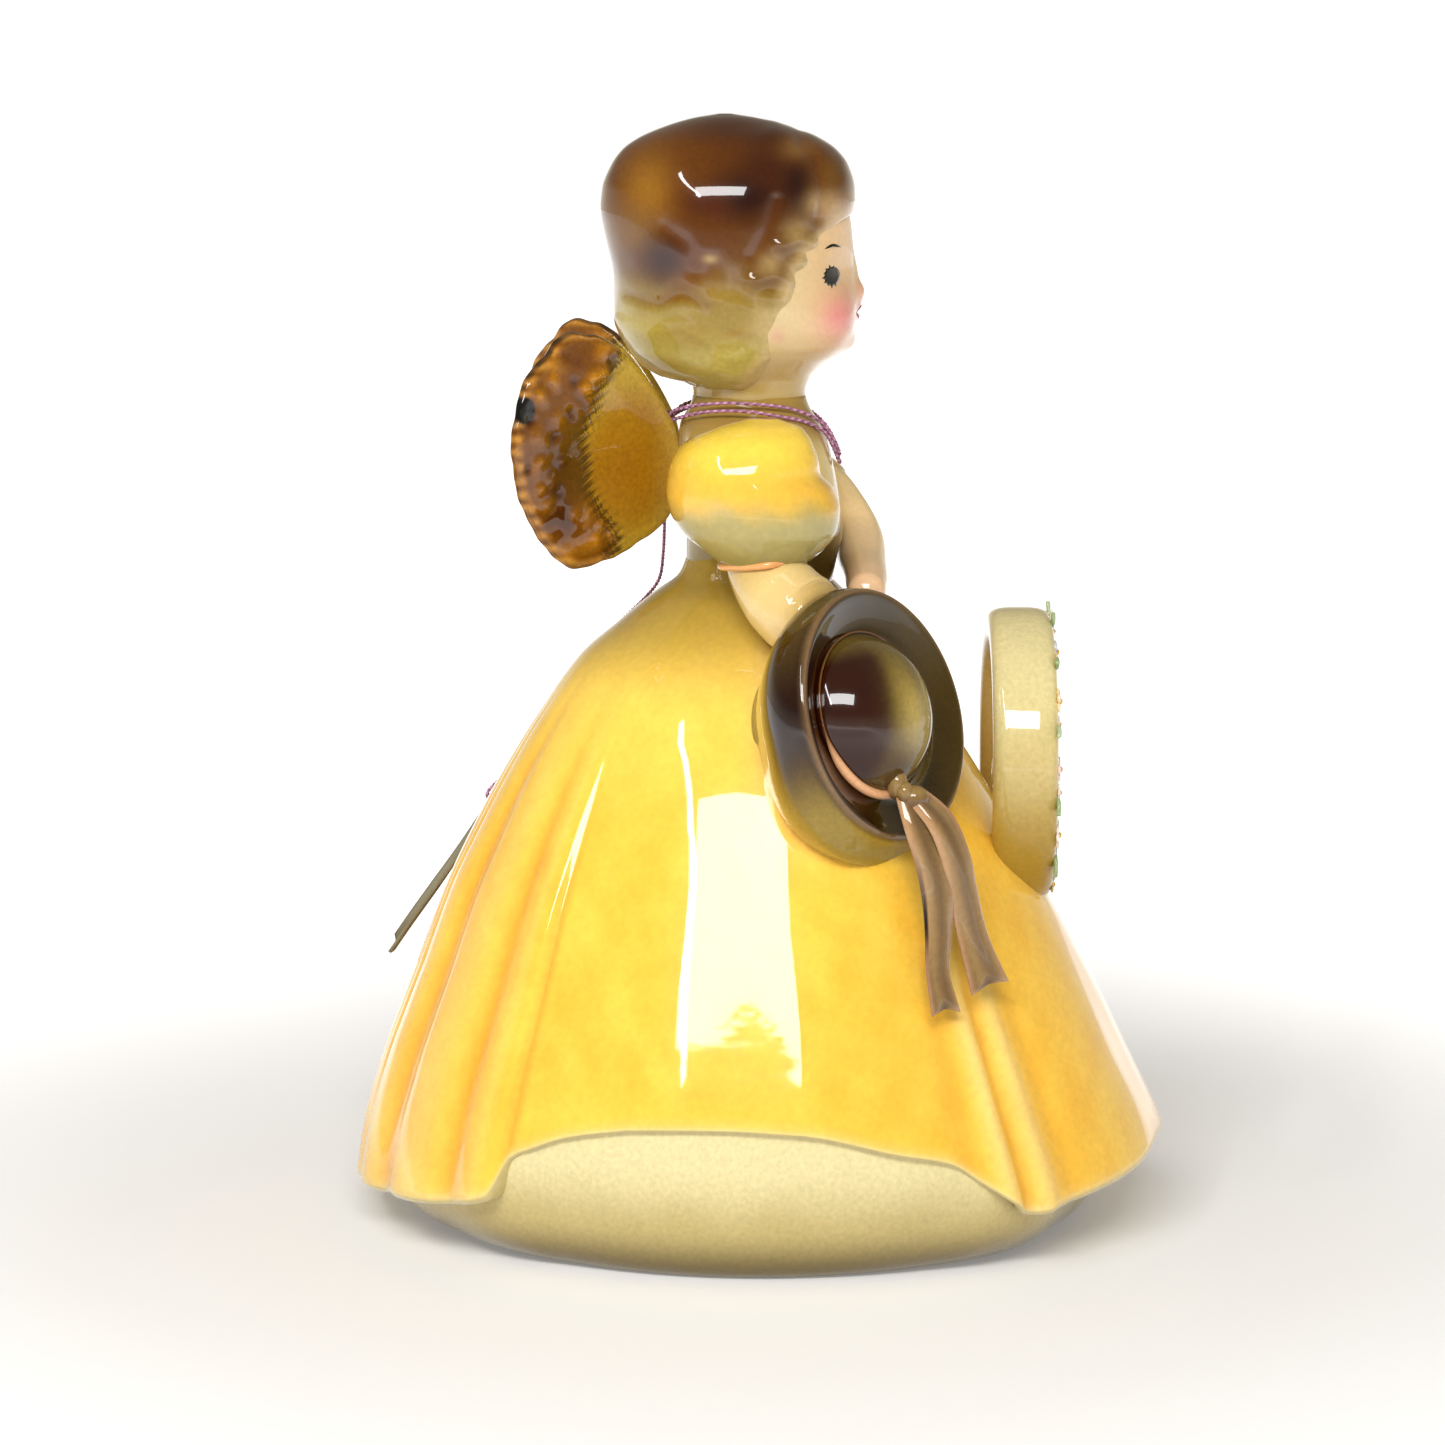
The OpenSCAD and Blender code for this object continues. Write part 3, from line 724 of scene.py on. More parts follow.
FACE_RELIEF = [
    # across, height, half width, half height, how far it stands out
    (0, 106.7, 1.5, 1.35, 0.85), (0, 109, 0.9, 1.8, 0.35), (6.6, 103.6, 3, 2.7, 0.55),
    (5.6, 109.4, 2.4, 1.9, -0.4), (0, 105, 1.5, 0.5, 0.28), (0, 103.9, 1.3, 0.55, 0.3),
    (0, 104.45, 1.9, 0.25, -0.25), (0, 102.7, 2.4, 0.7, -0.3), (0, 101, 2.6, 1.1, 0.5),
]
BODICE_SPAN = (95, 73)
HEAD_SPAN = (123.2, 92.5)
HAIR_SPAN = (126.95, 96.0)
FULL_HAIR_Z = 118
HAIR_DEPTH = 0.9


def bodice_parts():
    grid = level_grid(BODICE_ROWS, np.linspace(*BODICE_SPAN, 60), around(120), 2.2)
    y, z = grid[..., 1], grid[..., 2]
    # Painted shade: darker towards the waist and under the sleeve at the front, and golden brown on the neck
    # under the head.
    tint = painted(
        "#CDB268",
        ("#7E6A2A", smooth(84, 77, z)),
        ("#5E4A1E", 0.8 * smooth(-3, -8, y) * smooth(83, 79, z)),
        ("#8E6E2C", 0.8 * smooth(88.5, 92, z)),
    )
    return closed_grid(grid, tint)


def head_grid():
    grid = level_grid(HEAD_ROWS, np.linspace(*HEAD_SPAN, 190), around(260))
    x, y, z = np.moveaxis(grid, -1, 0)
    push = 0
    for across, height, wide, high, out in FACE_RELIEF:
        push = push + out * patch(np.abs(x) - across, z - height, wide, high)
    return grid + outward(grid) * (push * smooth(2, -4, y))[..., None]


def head_parts():
    grid = head_grid()
    x, y, z = np.moveaxis(grid, -1, 0)
    # Warmer face, the face spots, painted shade low on the neck, and a pink tip to the nose.
    tint = painted(
        "#C8B182",
        ("#D2AE80", smooth(-2, -9, y)),
        *spots(y, z, FACE_SPOTS),
        ("#B79A4A", 0.6 * smooth(98, 95, z)),
        ("#E39A90", 0.35 * patch(x, z - 106.9, 1.5, 1.2) * (y < 0)),
    )
    return closed_grid(grid, tint)


def hair_grid(outer, heights, turns, behind_line):
    """The hair's levels with their locks, sunk into the head in front of the hairline."""
    y, z = outer[..., 1], outer[..., 2]
    wave = 0.05 * mottle(outer, 5) * smooth(117, 108, z)
    for line, width, height in STRANDS:
        wave = wave + height * bell(to_curve(y, z, line), 0, width) * (0.45 + 0.55 * smooth(104, 110, z))
    inner = level_grid(HEAD_ROWS, np.minimum(heights, HEAD_SPAN[0] - 0.6), turns)
    inner -= outward(inner) * HAIR_DEPTH
    here = np.where(z > FULL_HAIR_Z, 1.0, smooth(-0.9, 0.5, behind_line))
    lifted = outer + outward(outer) * wave[..., None]
    return inner + (lifted - inner) * here[..., None]


def hair_parts():
    heights = HAIR_SPAN[0] - (HAIR_SPAN[0] - HAIR_SPAN[1]) * np.linspace(0, 1, 240) ** 1.25
    turns = around(380)
    outer = level_grid(HAIR_ROWS, heights, turns)
    y, z = outer[..., 1], outer[..., 2]
    behind_line = y - columns(HAIRLINE, z)[..., 0]
    # Painted shade along the sunken locks.
    grooves = [
        ("#7A4A12", 0.35 * bell(to_curve(y, z, points), 0, width) * smooth(102, 106, z))
        for points, width, height in STRANDS
        if height < 0
    ]
    tint = painted(
        "#754810",
        ("#A89246", smooth(110.5, 105, z - 0.1 * (y - 5))),
        ("#C2B46E", smooth(104, 100, z)),
        *spots(y, z, HAIR_SPOTS),
        ("#D2BC8C", 0.9 * smooth(2.4, 0.1, behind_line) * smooth(117.5, 113.5, z)),
        ("#D8BE96", 0.9 * smooth(119, 115, z) * smooth(-6.0, -9.0, y)),
        *grooves,
    )
    return closed_grid(hair_grid(outer, heights, turns, behind_line), tint**1.3 * 0.88)


piece("bodice_body", bodice_parts(), SKIN, "figure", "cream_glaze", "bodice")
head = piece("porcelain_head", head_parts(), SKIN, "figure", "skin_glaze", "head")
piece("moulded_hair", hair_parts(), GLOSS, "figure", "hair_glaze", "hair")

# ---- painted face

OUTSIDE_HEAD = 30
HEAD_MIDDLE = np.array([0, 4, 107.0])
EYE = (-8.35, 108.9, 0.92, 1.05)
LASHES = 9
BROW = [(-7.5, 112.0), (-8.4, 112.35), (-9.35, 112.1)]
LIPS_AT = 104.5
LIPS_HALF = (1.55, 0.85)


def on_head(tree, start, way, lift):
    """Where a ray from outside meets the head, lifted off it by a hair's breadth."""
    hit, normal, _, _ = tree.ray_cast(Vector(start) * MM, Vector(way))
    if normal.dot(Vector(way)) > 0:
        normal = -normal
    return np.array(hit) / MM + np.array(normal) * lift


def decal(tree, outline, side, colour, rings=5, lift=0.035):
    """A painted spot: rings inside an outline of (across, height), laid on to the head.
    side is -1 or 1 for a cheek and 0 for the front of the face."""
    outline = np.asarray(outline, float)
    middle = outline.mean(axis=0)
    way = (-side, 0, 0) if side else (0, 1, 0)
    points = []
    for share in np.linspace(0.08, 1, rings):
        for across, z in middle + (outline - middle) * share:
            start = (OUTSIDE_HEAD * side, across, z) if side else (across, -OUTSIDE_HEAD, z)
            points.append(on_head(tree, start, way, lift))
    grid = np.array(points).reshape(rings, len(outline), 3)
    sunk = grid[-1] - (grid[-1] - grid[0].mean(axis=0)) * 0.02
    sunk = sunk + unit(HEAD_MIDDLE - sunk) * 0.3
    return closed_grid(np.concatenate([grid, sunk[None]]), srgb(colour))


def eye_outline():
    """Round pupil with short lashes fanned along its edge."""
    y, z, half_y, half_z = EYE
    turn = around(160)
    r = 1 + 0 * turn
    for k in range(LASHES):
        apart = np.angle(np.exp(1j * (turn - math.radians(-115 + 27 * k))))
        r += 0.3 * bell(apart, 0, 0.075) * (0.7 + 0.3 * math.sin(k * 2.1))
    return xyz(y + half_y * r * np.cos(turn), z + half_z * r * np.sin(turn))


def brow_outline():
    """Thin tapered stroke."""
    line = spline(BROW, 24)
    way = unit(np.gradient(line, axis=0))
    side = xyz(-way[:, 1], way[:, 0])
    wide = 0.17 * np.sin(np.linspace(0.15, math.pi - 0.15, 24))[:, None]
    return np.vstack([line + side * wide, (line - side * wide)[::-1]])


def lips_outline():
    """Small lips with a dip in the middle of the upper one."""
    lips = []
    for t in around(48):
        dip = 0.22 * math.exp(-((math.cos(t) / 0.25) ** 2)) if math.sin(t) > 0 else 0
        up = (LIPS_HALF[1] - dip) * math.sin(t) * abs(math.sin(t)) ** 0.2
        lips.append((LIPS_HALF[0] * math.cos(t), LIPS_AT + up))
    return lips


def face_paint():
    shape = bmesh.new()
    shape.from_mesh(head.data)
    tree = BVHTree.FromBMesh(shape)
    shape.free()
    parts = []
    for side in (-1, 1):
        parts.append(decal(tree, eye_outline(), side, "#120C0C"))
        parts.append(decal(tree, brow_outline(), side, "#120C0C", rings=2))
    return joined([*parts, decal(tree, lips_outline(), 0, "#6E1418")])


piece("painted_face", face_paint(), DARK, "figure", "hair_glaze")

# ---- sleeves, cuffs and arms

SLEEVE_X = 13.5
SLEEVE_ROWS = [
    # height, front, back, half width
    (76, -3.6, 2.8, 3.4), (77.2, -5.4, 4.2, 4.8), (79, -7.6, 6.4, 6.6), (81, -8.9, 8.7, 7.8),
    (83.3, -9.2, 10, 8.4), (85.4, -8.5, 10.4, 8.5), (87.6, -7.2, 10.1, 8.3), (89.6, -6.5, 9.2, 7.6),
    (91.3, -5.7, 7.4, 6.4), (92.5, -4.6, 4.6, 4.4), (93.3, -2.2, 1.2, 1.4),
]
CUFF_LOOP = [(-15.4, -5.2, 78.4), (-20.2, -1.0, 77.6), (-15.4, 4.2, 76.9), (-10.6, -0.8, 77.6)]
LEFT_CUFF_LOOP = [(13, -8.2, 82.6), (17.2, -4.6, 80.9), (13, -0.6, 79.4), (8.8, -4.4, 80.9)]
CUFF_R = 0.42
SLEEVE_SPAN = (93.3, 76.0)
# The right arm's colours are darker at both ends as painted shade, under the sleeve and at the hand on the
# hat.
RIGHT_ARM = (
    # points, radii and colours from the sleeve to the hand
    [(-14.6, 0.2, 80), (-15.2, -0.6, 76.6), (-17.2, -2.8, 73.6), (-19.6, -5.4, 71.6), (-21.6, -7.6, 71.2)],
    [3.6, 4.1, 4.7, 4.9, 4.2],
    ["#8E7436", "#C4A664", "#DEC280", "#DFC080", "#C0A05C"],
)
LEFT_ARM = (
    [
        (12, -3.5, 84.6), (11.4, -7.2, 83.2), (9.6, -9.8, 80.4), (6.4, -11.6, 77.6), (0, -12.2, 75.6),
        (-7, -12.4, 74.4), (-13.4, -12.2, 73.4),
    ],
    [3.2, 3.4, 3.2, 2.9, 2.6, 2.4, 2.0],
    ["#E6CE90", "#F2D29A", "#F2D09C", "#E8BE94"],
)


def sleeve_parts(side, forward, drop):
    """Puffed sleeve: a domed cap over a fuller lower puff that draws in to the cuff."""
    heights = SLEEVE_SPAN[0] - (SLEEVE_SPAN[0] - SLEEVE_SPAN[1]) * np.linspace(0, 1, 130) ** 1.15
    grid = level_grid(SLEEVE_ROWS, heights, around(150), 2.15)
    z0 = grid[..., 2]
    crease = 0.35 * bell(z0, 87.2, 0.9) * smooth(2, -4, grid[..., 1])
    grid = grid + outward(grid) * (0.06 * mottle(grid, 9) - crease)[..., None]
    low = smooth(90, 77, z0)
    grid[..., 0] = side * (SLEEVE_X + grid[..., 0] + 1.2 * low)
    grid[..., 1] += forward * low
    grid[..., 2] += drop * low
    # Yellow cap fading to a cream lower puff, which turns olive and darker underneath as painted shade.
    tint = painted(
        "#F2CE4C",
        ("#E8B642", smooth(91.5, 85.6, z0 + 0.6 * mottle(grid, 6))),
        ("#A99B60", smooth(85.6, 81.6, z0 + 0.7 * mottle(grid, 7))),
        ("#878048", 0.7 * smooth(80.5, 77, z0)),
    )
    return closed_grid(grid, tint)


def cuff_parts(points):
    line = spline(points, 90, closed=True)
    return closed_grid(sweep(np.vstack([line, line[:1]]), CUFF_R, sides=10), srgb("#E0A060"))


def limb_parts(points, radii, colours, count=70):
    """Limb through the given points, with radii and colours blended along it."""
    t = np.linspace(0, 1, count)
    size = np.interp(t, np.linspace(0, 1, len(radii)), radii) * rounded_ends(count, 0.06)
    grid = sweep(spline(points, count), size, sides=40)
    tint = np.array([srgb(c) for c in colours])
    shade = xyz(*(np.interp(t, np.linspace(0, 1, len(colours)), channel) for channel in tint.T))
    return closed_grid(grid, shade[:, None])


piece("puff_sleeve_right", sleeve_parts(-1, 0, 0), GOWN, "figure", "yellow_glaze", "right_sleeve")
piece("puff_sleeve_left", sleeve_parts(1, -2.4, 3.4), GOWN, "figure", "yellow_glaze", "left_sleeve")
piece("cuff_line_right", cuff_parts(CUFF_LOOP), GLOSS, "figure", "gilt_line", "right_cuff")
piece("cuff_line_left", cuff_parts(LEFT_CUFF_LOOP), GLOSS, "figure", "gilt_line", "left_cuff")
piece("arm_right", limb_parts(*RIGHT_ARM), SKIN, "figure", "skin_glaze", "right_arm")
piece("arm_left", limb_parts(*LEFT_ARM), SKIN, "figure", "skin_glaze", "left_arm")

# ---- wings

WING_ROOT = (4.5, 9.4, 90)
WING_SWEEP = 35
WING_T = 2.4
WING_OUTLINE = [
    # along the wing from its root, height
    (0.2, 91), (1.3, 93.4), (3.1, 96.2), (5.4, 98.9), (8.7, 101.6), (12.1, 102.7), (14.6, 103),
    (16.4, 102), (17.8, 100.6), (20.2, 98.7), (22, 94.9), (22.7, 91), (22.4, 87.4), (20.9, 83),
    (18.4, 79.6), (16.3, 77.4), (13.6, 76.4), (10.1, 76.8), (6.1, 78.3), (2.7, 80.2), (0.9, 82.2),
    (-0.4, 86.4),
]
WING_COLS = 300
WING_RINGS = 60
WING_HEART = (10.4, 89.6)
BORDER_ROWS = [
    # height, how far along the wing the brushed border starts
    (76, 8.4), (79, 8.3), (81.3, 9.5), (83.4, 11.1), (86, 12.6), (88.5, 12.8), (91, 13.2),
    (94.3, 11.6), (96.8, 10.7), (99, 8.6), (101.5, 7), (105, 6.4),
]
WING_LUMPS = 150
TIP_SPOT = (21.3, 94.6)


def wing_outline():
    """Ragged outline of the wing, and how far each point is on its free outer edge."""
    outline = spline(WING_OUTLINE, WING_COLS, closed=True)
    away = outline - WING_HEART
    turn = np.arctan2(away[:, 1], away[:, 0])
    outer = smooth(2.3, 1.7, np.abs(np.angle(np.exp(1j * (turn + 0.1)))))
    ragged = 0.1 * np.sin(turn * 13) + 0.05 * np.sin(turn * 29 + 1)
    far = np.linalg.norm(away, axis=1)
    return WING_HEART + away * (1 + ragged * outer / far)[:, None], far, outer


def wing_lumps(outline, s, z):
    """Small bumps and hollows scattered over the border."""
    lump = 0 * s
    draws = np.random.default_rng(11)
    for _ in range(WING_LUMPS):
        start = outline[draws.integers(WING_COLS)]
        at = start + (WING_HEART - start) * draws.uniform(0.02, 0.55)
        size, height = draws.uniform(0.55, 1.15), draws.uniform(-0.25, 0.42)
        lump = lump + height * np.exp(-((s - at[0]) ** 2 + (z - at[1]) ** 2) / size**2)
    return lump


def wing_paint(s, z, edge, lump, past, brush, outer):
    """Amber middle, brushed gold and brown border with painted highlights on its lumps and painted shade in
    its hollows, dark rim and one black spot.
    """
    amber = painted(
        "#986A0E",
        ("#AE8E2C", smooth(4.5, 9.5, np.hypot(s - 6.5, (z - 88) * 0.9))),
        ("#8E5A0E", 0.6 * patch(s - 8, z - 87.5, 4, 4)),
        ("#BDA048", 0.6 * smooth(5, 0, s)),
    )
    # Brushed border paint, lighter on raised lumps as painted highlights and darker in hollows as painted
    # shade, with a light gold band near the edge that is gold paint carrying a painted sheen.
    gold = painted(
        "#6A3C04",
        ("#C48A20", 0.15 + 1.4 * lump),
        ("#4A2602", 0.8 * smooth(0.05, -0.25, lump)),
        ("#472604", 0.85 * patch(s - 16.5, z - 88, 3.4, 5.5)),
        ("#D9A250", 0.6 * smooth(1.5, 0.4, edge) * (0.55 + 0.45 * np.sin(4 * z))),
    )
    rim = smooth(0.45, 0.1, edge) * outer
    spot = patch(s - TIP_SPOT[0], z - TIP_SPOT[1], 1.2, 1.4)
    return painted(
        amber + (gold**1.15 - amber) * smooth(-0.6, 0.9, past)[..., None],
        ("#3E2E0A", 0.9 * bell(past, 1.0, 1.5) * smooth(-0.5, 0.3, brush)),
        ("#1C1006", rim * (0.35 + 0.6 * smooth(96, 100, z) + 0.2 * np.sin(5 * z))),
        ("#060404", smooth(0.2, 0.4, spot)),
    )


def wing_parts(side):
    """Fan-shaped wing: a smooth amber middle inside a raised, brushed border of feathers."""
    outline, far, outer = wing_outline()
    share = np.linspace(0.02, 1, WING_RINGS)[:, None]
    s, z = np.moveaxis(WING_HEART + (outline - WING_HEART) * share[..., None], -1, 0)
    edge = (1 - share) * far
    stroke = z + 0.55 * s
    brush = 0.5 * np.sin(5.7 * stroke) + 0.45 * np.sin(13.3 * stroke + 1) + 0.4 * np.sin(24 * stroke + 2)
    past = s - columns(BORDER_ROWS, z)[..., 0] + 0.55 * brush
    lump = wing_lumps(outline, s, z)
    round_off = np.sqrt(np.clip(1 - (1 - np.clip(edge, 0, 1)) ** 2, 0, 1))
    half = WING_T / 2 * (0.55 + 0.45 * smooth(0, 5, edge)) * round_off
    raised = half + (0.25 + 0.75 * np.clip(lump, -0.5, 0.7)) * smooth(-0.6, 0.9, past) * round_off
    cup = 0.9 * ((s - 10) / 12) ** 2
    swept = math.radians(WING_SWEEP)
    way = np.array([side * math.sin(swept), math.cos(swept), 0])
    off = np.array([side * math.cos(swept), -math.sin(swept), 0])
    root = np.array([side * WING_ROOT[0], WING_ROOT[1], 0])
    middle = root + s[..., None] * way + xyz(0, 0, z)
    front, back = (middle + (lift + cup)[..., None] * off for lift in (raised, -half))
    tint = wing_paint(s, z, edge, lump, past, brush, outer)
    return closed_grid(np.concatenate([front, back[::-1]]), np.concatenate([tint, tint[::-1]]))


piece("feather_wing_right", wing_parts(-1), RELIEF, "figure", "wing_glaze", "right_wing")
piece("feather_wing_left", wing_parts(1), RELIEF, "figure", "wing_glaze", "left_wing")

# ---- hat and ribbon

HAT_AT = np.array([-25.0, -13.9, 61.7])
HAT_LEAN = 74
HAT_TURN = 231.7
CROWN_OFF = (1.5, 0.3)
BRIM_ROWS = [
    # radius, depth along the crown's axis
    (0.3, -0.3), (5, -0.5), (8.4, -0.6), (9.4, -0.9), (10.6, -0.85), (12.2, -0.4), (13.1, -0.05),
    (13.7, 0.1), (14.05, -0.05), (14.25, -0.5), (14.5, -1.4), (14.65, -2.4), (14.6, -3.4), (14.3, -4.5),
    (13.6, -5.9), (12.4, -7.5), (10.8, -9.2), (9.2, -10.8), (8, -12), (7, -13), (0.3, -13),
]
CROWN_ROWS = [
    # radius, depth along the crown's axis
    (0.05, 4.9), (2, 4.75), (4, 4.25), (5.8, 3.4), (7.2, 2.2), (8.2, 0.9), (8.8, -0.3),
    (9, -1.2), (8, -1.6),
]
BAND_R = 9.15


def hat_frame():
    """The hat's axes: towards the figure's back, up across the hat, and out along its crown."""
    lean, turn = math.radians(HAT_LEAN), math.radians(HAT_TURN)
    ahead = np.array([math.sin(lean) * math.cos(turn), math.sin(lean) * math.sin(turn), math.cos(lean)])
    back = unit(np.cross(ahead, (0, 0, 1)))
    return np.array([back, np.cross(back, ahead), ahead])


def on_hat(back, up, ahead):
    """Points at distances along the hat's axes from its middle."""
    return HAT_AT + xyz(back, up, ahead) @ hat_frame()


def hat_grid(rows, count, cols=200):
    """Turned shape, a little uneven: distances to the back, up and along the axis, and radius."""
    line, turn = spline(rows, count), around(cols)
    r, depth = line[:, :1], line[:, 1:]
    depth = depth + 0.18 * np.sin(2 * turn + 0.6) * smooth(9, 14, r)
    low = smooth(0.1, -0.9, np.sin(turn + 0.1))
    droop = 1.9 * low * smooth(-0.8, -4, depth) * smooth(-13, -7, depth)
    r = r + (0.006 * r * np.sin(3 * turn + 1) + droop)
    depth = depth * (1 + 0.2 * low * smooth(-0.4, -2, depth))
    return r * np.cos(turn), r * np.sin(turn), depth, r


def brim_parts():
    back, up, depth, r = hat_grid(BRIM_ROWS, 110)
    grid = on_hat(back, up, depth)
    # The brim's face is lighter towards the figure's front as painted light and darker towards its back as
    # painted shade.
    face = painted(
        "#48380F",
        ("#584616", 0.5 + 0.5 * mottle(grid, 7)),
        ("#625018", 0.6 * smooth(-4, -10, back) * smooth(14.2, 13.6, r)),
        ("#3A1A08", 0.85 * smooth(2, 9, back) * smooth(14.2, 13.6, r)),
    )
    wall = painted(
        "#6A5426", ("#B09A50", smooth(2, -9, up + 0.2 * back)), ("#C0AC66", 0.7 * smooth(-6, -10, depth))
    )
    outside = np.clip(smooth(-0.3, -1.2, depth) * smooth(13.4, 14.2, r) + smooth(-5.5, -7, depth), 0, 1)
    # Painted shade: dark maroon over the back of the brim, and a dark ring where the brim meets the crown.
    maroon_shade = bell(up, 1.5, 6.5) * smooth(7.5, 12, back) * smooth(-7, -3.6, depth)
    tint = painted(
        face + (wall - face) * outside[..., None],
        ("#300A02", 0.97 * maroon_shade),
        ("#5A2A10", 0.5 * bell(r, 10.4, 1.1) * smooth(3, 8, back) * smooth(-1.4, -0.6, depth)),
    )
    # Painted highlight along the crease at the brim's rim.
    lip = bell(r, 13.95, 0.28) * smooth(-0.9, -0.2, depth)
    return closed_grid(grid, painted(tint**1.3 * 0.9, ("#A8845A", 0.5 * lip)))


def crown_parts():
    back, up, depth, _ = hat_grid(CROWN_ROWS, 60)
    grid = on_hat(back + CROWN_OFF[0], up + CROWN_OFF[1], depth)
    # Painted shade: dark maroon over the crown's back and lower side, with an olive-gold painted highlight
    # on its front.
    tint = painted(
        "#5A481A",
        ("#66521E", 0.5 + 0.5 * mottle(grid, 5)),
        ("#2A0802", 0.98 * smooth(1.2, 4.0, back + 0.2 * up) * smooth(8.6, 5.6, up)),
        ("#341004", 0.9 * patch(back - 0.6, up + 6.4, 3.6, 2.4)),
        ("#AE964A", 0.97 * patch(back + 0.7, up + 0.8, 2.6, 4.4)),
    )
    return closed_grid(grid, tint)


def band_parts():
    """Ribbon band round the foot of the crown, widest below."""
    turn = np.linspace(0, 2 * math.pi, 120)
    line = on_hat(BAND_R * np.cos(turn) + CROWN_OFF[0], BAND_R * np.sin(turn) + CROWN_OFF[1], -0.45)
    low = smooth(-0.55, -0.97, np.sin(turn - 0.5))
    # Peach below, and dark brown elsewhere as painted shade in the crease at the crown's foot.
    tint = painted("#6A4218", ("#E0A878", low))
    return closed_grid(sweep(line, 0.12 + 0.45 * low, sides=12), tint[:, None])


BACK_TAIL = [
    # x, y, z, half width, twist in degrees
    (-28.8, -16.2, 53.2, 1.4, 0), (-30, -17.6, 50.2, 2, 0), (-30.8, -18.9, 46.5, 2, -6),
    (-31.2, -19.7, 42.6, 1.95, -8), (-31.8, -19.8, 38.4, 1.7, -4), (-32.8, -19.6, 34, 1.6, 6),
    (-33.8, -20.4, 29.6, 2.1, 10),
]
FRONT_TAIL = [
    # x, y, z, half width, twist in degrees
    (-28.8, -17, 53.4, 1.4, 10), (-29.6, -20, 50.4, 2, 10), (-29.8, -21.7, 46.6, 2, 4),
    (-29.8, -22.5, 42.8, 1.9, 0), (-29.8, -23.2, 39.2, 1.8, -6), (-30, -24.1, 35.8, 2, -4),
    (-30.4, -25.4, 31.8, 2.6, 0),
]
KNOT_MIDDLE = np.array([-28.6, -16.1, 53.3])
KNOT_LOBES = [
    # shift from the middle, radius, stretch
    ((0.3, 0.9, 1), 1.5, (1, 0.8, 1.2)), ((-0.2, -0.9, -0.6), 1.6, (0.9, 1.1, 1)),
    ((-0.6, 0.1, 0.2), 1.2, (1, 0.8, 1.1)),
]
RIBBON_FACES = np.array([-0.80, -0.45, 0.25])
RIBBON_T = 0.75
RIBBON_FOLD = 0.25
RIBBON_ROWS = 80


def ribbon_grid(rows, notch, turn, t):
    """Flat band along rows of [x, y, z, half width, twist in degrees], its end cut to a notch."""
    line = spline(rows, len(t))
    centre, half, twist = line[:, :3], line[:, 3:4], np.radians(line[:, 4:])
    along = unit(np.gradient(centre, axis=0))
    out = unit(RIBBON_FACES - along * (along @ RIBBON_FACES)[:, None])
    wide = np.cross(along, out)
    c, s = np.cos(twist), np.sin(twist)
    wide, out = c * wide + s * out, c * out - s * wide
    u, w = boxy(np.cos(turn), 0.7), boxy(np.sin(turn), 0.9)
    fold = RIBBON_FOLD * np.sin(u * 3.2 + 4 * t)
    cut = notch * (1 - np.abs(u)) * smooth(0.7, 1, t)
    return (
        centre[:, None]
        + (u * half)[..., None] * wide[:, None]
        + (w * RIBBON_T / 2 + fold)[..., None] * out[:, None]
        - cut[..., None] * along[:, None]
    )


def ribbon_parts(rows, notch, shadow=0.0):
    """Ribbon tail, with painted shadow along one edge for the gap behind it, where shadow is above 0."""
    turn, t = around(56), np.linspace(0, 1, RIBBON_ROWS)[:, None]
    u, w = boxy(np.cos(turn), 0.7), boxy(np.sin(turn), 0.9)
    tint = painted(
        "#93764A",
        ("#6E5436", 0.5 + 0.5 * np.sin(u * 5 + 3 * t)),
        ("#CC9A74", 0.5 * bell(np.abs(u) + 0 * t, 0.9, 0.2)),
        # Painted shade over the back face, then the painted shadow along one edge.
        ("#2E160A", 0.9 * smooth(0.1, -0.5, w) + 0 * t),
        ("#140804", shadow * smooth(0.72, 0.86, u) * bell(t, 0.5, 0.22)),
    )
    return closed_grid(ribbon_grid(rows, notch, turn, t), tint)


def knot_parts():
    """Ribbon knot: two short lobes pulled through a ring."""
    parts = []
    for shift, radius, stretch in KNOT_LOBES:
        p, f = ball(KNOT_MIDDLE + shift, radius, 16, 24, stretch)
        # Each lobe is darker underneath as painted shade.
        parts.append((p, f, painted("#8E7242", ("#64482A", smooth(0.5, -1, (p - KNOT_MIDDLE)[:, 2])))))
    return joined(parts)


piece("hat_brim_glazed", brim_parts(), DARK, "figure", "hat_glaze", "hat_brim")
piece("hat_crown_glazed", crown_parts(), DARK, "figure", "hat_glaze", "hat_crown")
piece("hat_ribbon_band", band_parts(), GLOSS, "figure", "gilt_line", "hat_band")
piece("hat_ribbon_knot", knot_parts(), GLOSS, "figure", "ribbon_glaze", "ribbon_knot")
back_tail = ribbon_parts(BACK_TAIL, 2.0, shadow=1.0)
piece("hat_ribbon_back", back_tail, GLOSS, "figure", "ribbon_glaze", "ribbon_tail_back")
front_tail = ribbon_parts(FRONT_TAIL, 1.8)
piece("hat_ribbon_front", front_tail, GLOSS, "figure", "ribbon_glaze", "ribbon_tail_front")

# ---- flower ring

RING_Z = 53.4
RING_R = 17
RING_WALL = 3.9
RING_BACK = -26.5
RING_FRONT = -33.9
RING_MID_R = RING_R - RING_WALL / 2
FLOWERS = 11
FIRST_FLOWER = -72
FLOWER_ARC = 324
PETALS = 5
PETAL_COLOURS = ["#DDB0AC", "#E0D6C8", "#A9B0BC", "#E2C074"]


